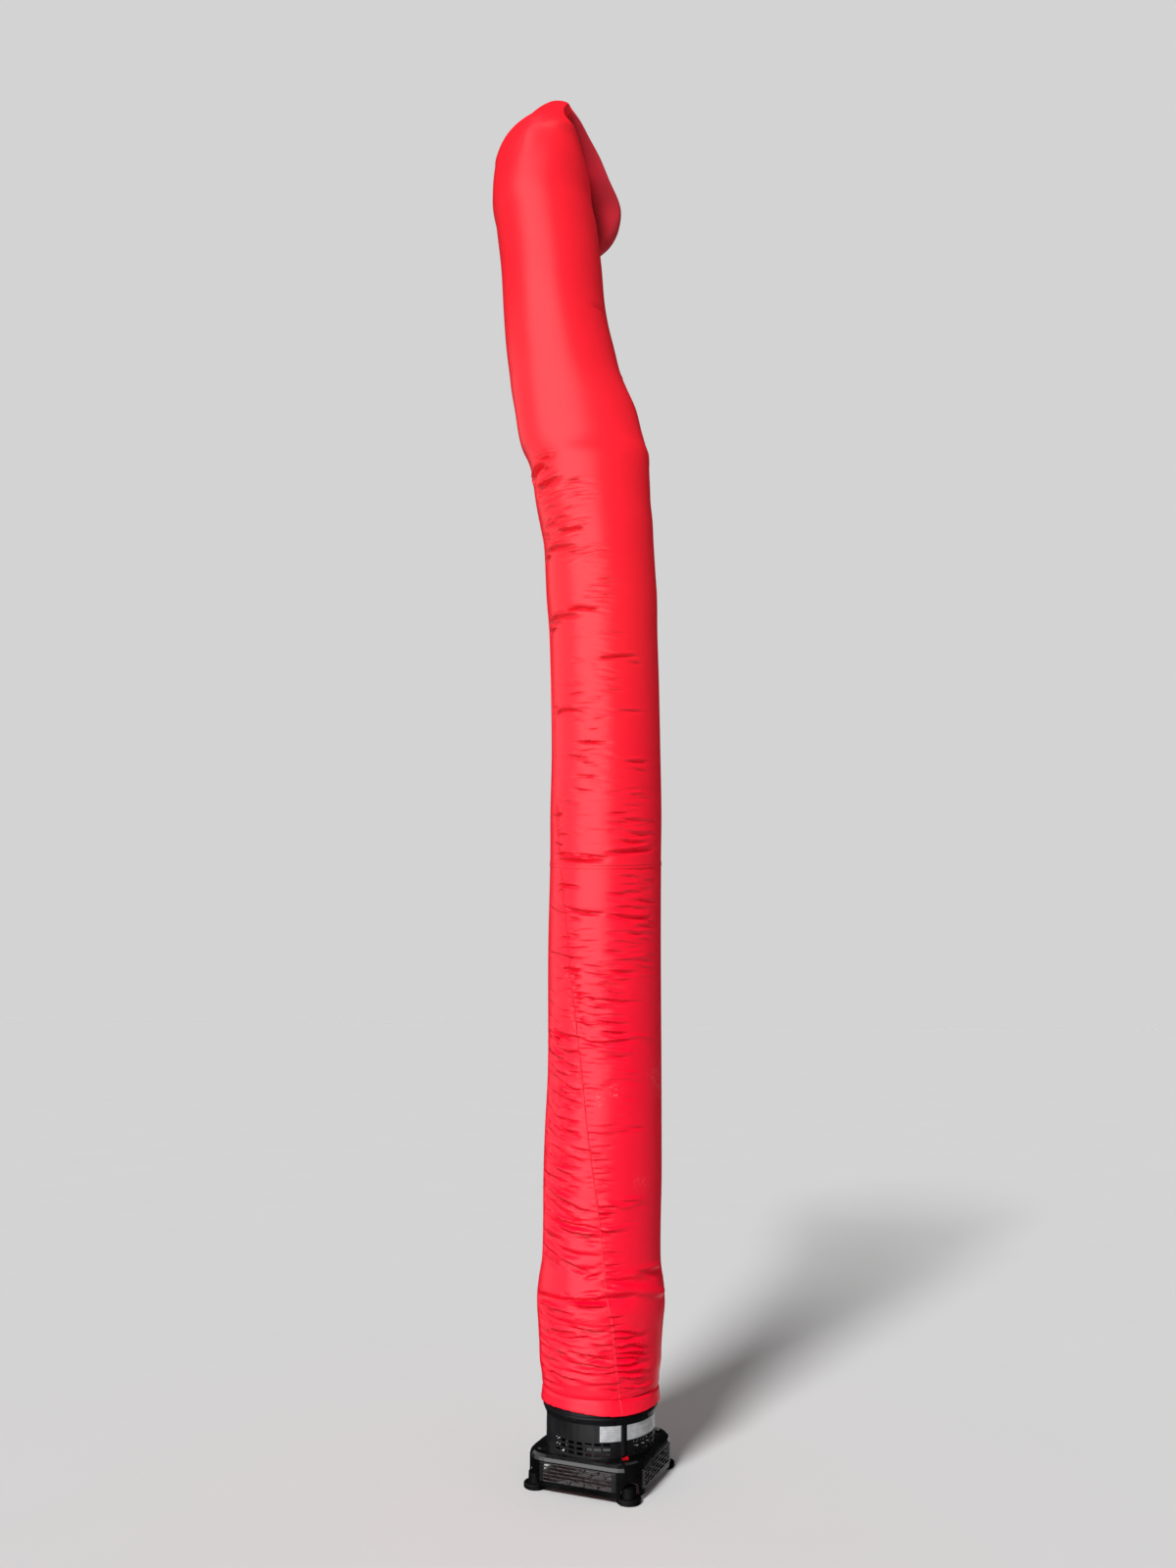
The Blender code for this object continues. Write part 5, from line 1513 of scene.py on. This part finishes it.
@dataclass
class FanBlower:
    """The black blower: finishes on its frame nodes, and the trim that only the eye needs."""

    nodes: dict[str, Piece]
    finishes: Finishes
    plate_thickness: float = 0.5 * MM
    plate_gap: float = 0.2 * MM
    drum_radius: float = 0.141
    # Blank plates on the drum: start and end bearing from +X in degrees, bottom and top height
    plates: tuple[tuple[float, float, float, float], ...] = (
        (-68.7, -46.4, 0.127, 0.163), (-39.8, 13.0, 0.127, 0.162),
    )
    rib_count: int = 9
    rib_first: float = -134.0
    rib_radius: float = 0.1462
    rib_height: float = 0.1735
    rib_size: tuple[float, float, float] = (4.4 * MM, 1.8 * MM, 12.0 * MM)
    rib_edge: float = 0.4 * MM

    def dress(self) -> None:
        """Give every carried-over node its finish."""
        looks = {
            self.finishes.housing: ("base_housing",),
            self.finishes.drum: ("drum", "collar", "cable_duct"),
            self.finishes.foot: ("foot_front_right", "foot_back_right", "foot_back_left",
                                 "foot_front_left", "switch_frame"),
            self.finishes.rocker: ("rocker",),
            self.finishes.zinc: ("housing_screw",),
        }
        for finish, names in looks.items():
            for name in names:
                for slot in self.nodes[name].material_slots:
                    slot.material = finish

    def axis(self) -> Vector:
        """A point on the blower's axis, from the drum's box."""
        low, high = (Vector(corner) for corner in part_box("drum"))
        return (low + high) / 2

    def build(self) -> list[Piece]:
        """Dress the nodes and add the trim.

        Returns:
            The plates, grilles and ribs.
        """
        self.dress()
        pieces = [self.build_plate(number, *place) for number, place in enumerate(self.plates, 1)]
        pieces += [Grille(side).build(self.finishes.grille, self.axis()) for side in Side]
        pieces += [self.build_rib(number) for number in range(self.rib_count)]
        return pieces

    def build_rib(self, number: int) -> Piece:
        """Small upright rib under the collar's lip.

        Args:
            number: which rib, counted from the first.

        Returns:
            The rib.
        """
        bm = bmesh.new()
        bmesh.ops.create_cube(bm, size=1.0)
        bmesh.ops.scale(bm, verts=bm.verts, vec=self.rib_size)
        bmesh.ops.bevel(bm, geom=bm.edges[:], offset=self.rib_edge, segments=2, profile=0.5, affect="EDGES",
                        material=-1)
        centre = self.axis()
        bmesh.ops.translate(bm, verts=bm.verts, vec=(self.rib_radius, 0.0, self.rib_height))
        bearing = math.radians(self.rib_first + number * 360 / self.rib_count)
        bmesh.ops.rotate(bm, verts=bm.verts, cent=(0, 0, 0), matrix=Matrix.Rotation(bearing, 3, "Z"))
        bmesh.ops.translate(bm, verts=bm.verts, vec=(centre.x, centre.y, 0.0))
        return finish_piece(f"collar_rib_{number + 1}", bm, self.finishes.housing, Body.DANCER)

    def build_plate(self, number: int, start: float, end: float, low: float, high: float) -> Piece:
        """Blank silver plate bent round the drum.

        Args:
            number: the plate's number.
            start: bearing of its left end, in degrees.
            end: bearing of its right end.
            low: height of its lower edge.
            high: height of its upper edge.

        Returns:
            The plate.
        """
        bm = bmesh.new()
        steps = max(2, round((end - start) / 3))
        bmesh.ops.create_grid(bm, x_segments=steps, y_segments=2, size=0.5)
        centre = self.axis()
        for vert in bm.verts:
            bearing = math.radians(start + (end - start) * (vert.co.x + 0.5))
            height = low + (high - low) * (vert.co.y + 0.5)
            radius = self.drum_radius + self.plate_gap
            vert.co = (centre.x + radius * math.cos(bearing), centre.y + radius * math.sin(bearing), height)
        bmesh.ops.recalc_face_normals(bm, faces=bm.faces)
        bmesh.ops.solidify(bm, geom=bm.faces[:], thickness=-self.plate_thickness)
        bmesh.ops.recalc_face_normals(bm, faces=bm.faces)
        return finish_piece(f"blank_plate_{number}", bm, self.finishes.plate, Body.DANCER)


# ---------------------------------------------------------------------------------------------
# Studio
# ---------------------------------------------------------------------------------------------


@dataclass
class Studio:
    """Camera, floor and soft lights."""

    axis: Vector
    camera_distance: float = 3.3230
    camera_height: float = 1.2006
    camera_pitch: float = math.radians(10.56)
    camera_yaw: float = math.radians(-0.57)
    lens: float = 27.045
    sensor: float = 36.0
    farthest: float = 200.0
    floor_half: float = 60.0
    dome_light: float = 0.25
    dome_mirrored: float = 0.014   # the dome as shiny things see it, dark beside the softbox
    dome_look: float = 0.652       # the dome as the camera sees it, level with the floor's grey

    # Name, bearing, elevation, softness, power, and whether it glints
    SUNS = (
        ("key", -116.0, 40.0, 14.0, 3.6, False),
        ("glint", -139.0, 52.0, 12.0, 0.16, True),
    )
    # Name, bearing, distance, height, size, power
    SOFTBOXES = (
        ("front_softbox", -119.0, 3.2, 2.85, (4.0, 6.6), 225.0),
        ("side_softbox", -190.0, 3.0, 2.2, (3.4, 4.4), 42.0),
        ("low_softbox", 68.0, 1.6, -0.55, (1.4, 0.8), 2.0),
    )

    def direction(self, across: float, away: float) -> Vector:
        """Level vector from its parts across and away from the viewer."""
        sway = Vector((math.cos(Tube.SWAY), math.sin(Tube.SWAY), 0.0))
        return sway * across + Vector((-sway.y, sway.x, 0.0)) * away

    def place_camera(self) -> None:
        """Set the camera where the whole object is seen from low in front."""
        level = self.direction(math.sin(self.camera_yaw), math.cos(self.camera_yaw))
        rise = Vector((0, 0, math.sin(self.camera_pitch)))
        forward = (level * math.cos(self.camera_pitch) + rise).normalized()
        right = forward.cross(Vector((0, 0, 1))).normalized()
        up = right.cross(forward)
        turn = Matrix((right, up, -forward)).transposed().to_4x4()
        stand = Vector((self.axis.x, self.axis.y, self.camera_height))
        place = self.direction(0.0, -self.camera_distance) + stand
        data = bpy.data.cameras.new("camera")
        data.lens = self.lens
        data.sensor_width = self.sensor
        data.clip_end = self.farthest
        camera = link("camera", data)
        camera.matrix_world = Matrix.Translation(place) @ turn
        bpy.context.scene.camera = camera

    def add_lamp(self, name: str, kind: str, power: float, place: Vector, out: Vector) -> Piece:
        """Add a light.

        Args:
            name: the light's name.
            kind: the type of light.
            power: watts, or watts per square metre for a sun.
            place: where it stands.
            out: from what it lights towards it.

        Returns:
            The light.
        """
        lamp = link(name, bpy.data.lights.new(name, kind))
        lamp.data.energy = power
        lamp.location = place
        lamp.rotation_euler = (-out).to_track_quat("-Z", "Y").to_euler()
        return lamp

    def add_sun(self, name: str, bearing: float, elevation: float, softness: float, power: float,
                glints: bool) -> None:
        """Add a soft, far light that either lights or glints.

        Args:
            name: the light's name.
            bearing: where it stands, in degrees round the tube.
            elevation: its height over the horizon, in degrees.
            softness: its own width, in degrees.
            power: watts per square metre.
            glints: whether it is seen in shiny things only, or lights matt ones only.
        """
        turn, rise = math.radians(bearing), math.radians(elevation)
        level = self.direction(math.cos(turn), math.sin(turn))
        out = level * math.cos(rise) + Vector((0, 0, math.sin(rise)))
        lamp = self.add_lamp(name, "SUN", power, out * 10, out)
        lamp.data.angle = math.radians(softness)
        lamp.visible_diffuse = not glints
        lamp.visible_glossy = glints

    def add_softbox(self, name: str, bearing: float, distance: float, height: float,
                    size: tuple[float, float], power: float) -> None:
        """Add a tall softbox that only makes sheens.

        Args:
            name: the light's name.
            bearing: where it stands, in degrees round the tube.
            distance: metres from the tube.
            height: height of its middle.
            size: its width and height.
            power: watts.
        """
        turn = math.radians(bearing)
        out = self.direction(math.cos(turn), math.sin(turn))
        place = Vector((self.axis.x, self.axis.y, height)) + out * distance
        lamp = self.add_lamp(name, "AREA", power, place, out)
        lamp.data.shape = "RECTANGLE"
        lamp.data.size, lamp.data.size_y = size
        lamp.visible_camera = False
        lamp.visible_diffuse = False

    def light_world(self) -> None:
        """Surround the object with a plain dome: pale to look at, and dimmer as a light."""
        look = Look(bpy.data.worlds.new("studio"), "Background")
        light = look.ranged(look.add("LightPath", "Is Glossy Ray"), self.dome_light, self.dome_mirrored)
        seen = look.ranged(look.add("LightPath", "Is Camera Ray"), light, self.dome_look)
        bpy.context.scene.world = look.finish({"Color": (1.0, 1.0, 1.0, 1.0), "Strength": seen})

    def build(self) -> None:
        """Build the studio."""
        self.place_camera()
        bm = bmesh.new()
        bmesh.ops.create_grid(bm, x_segments=1, y_segments=1, size=self.floor_half)
        floor = link("floor", make_mesh("floor", bm, StudioPaper().build()))
        floor.visible_glossy = False
        floor.visible_shadow = False
        self.light_world()
        for sun in self.SUNS:
            self.add_sun(*sun)
        for softbox in self.SOFTBOXES:
            self.add_softbox(*softbox)
        bpy.context.scene.view_settings.view_transform = "Standard"


def main() -> None:
    """Build the object and its studio in order."""
    logging.basicConfig(level=logging.INFO, format="%(message)s")
    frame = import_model()
    finishes = Finishes()
    blower = FanBlower(frame["nodes"], finishes)
    pieces = blower.build()
    pieces += AirTube(Tube(blower.axis()), finishes.nylon).build()
    for piece in pieces:
        LOG.info("%s rides on its body", piece.name)
    Studio(blower.axis()).build()


if __name__ == "__main__":
    main()
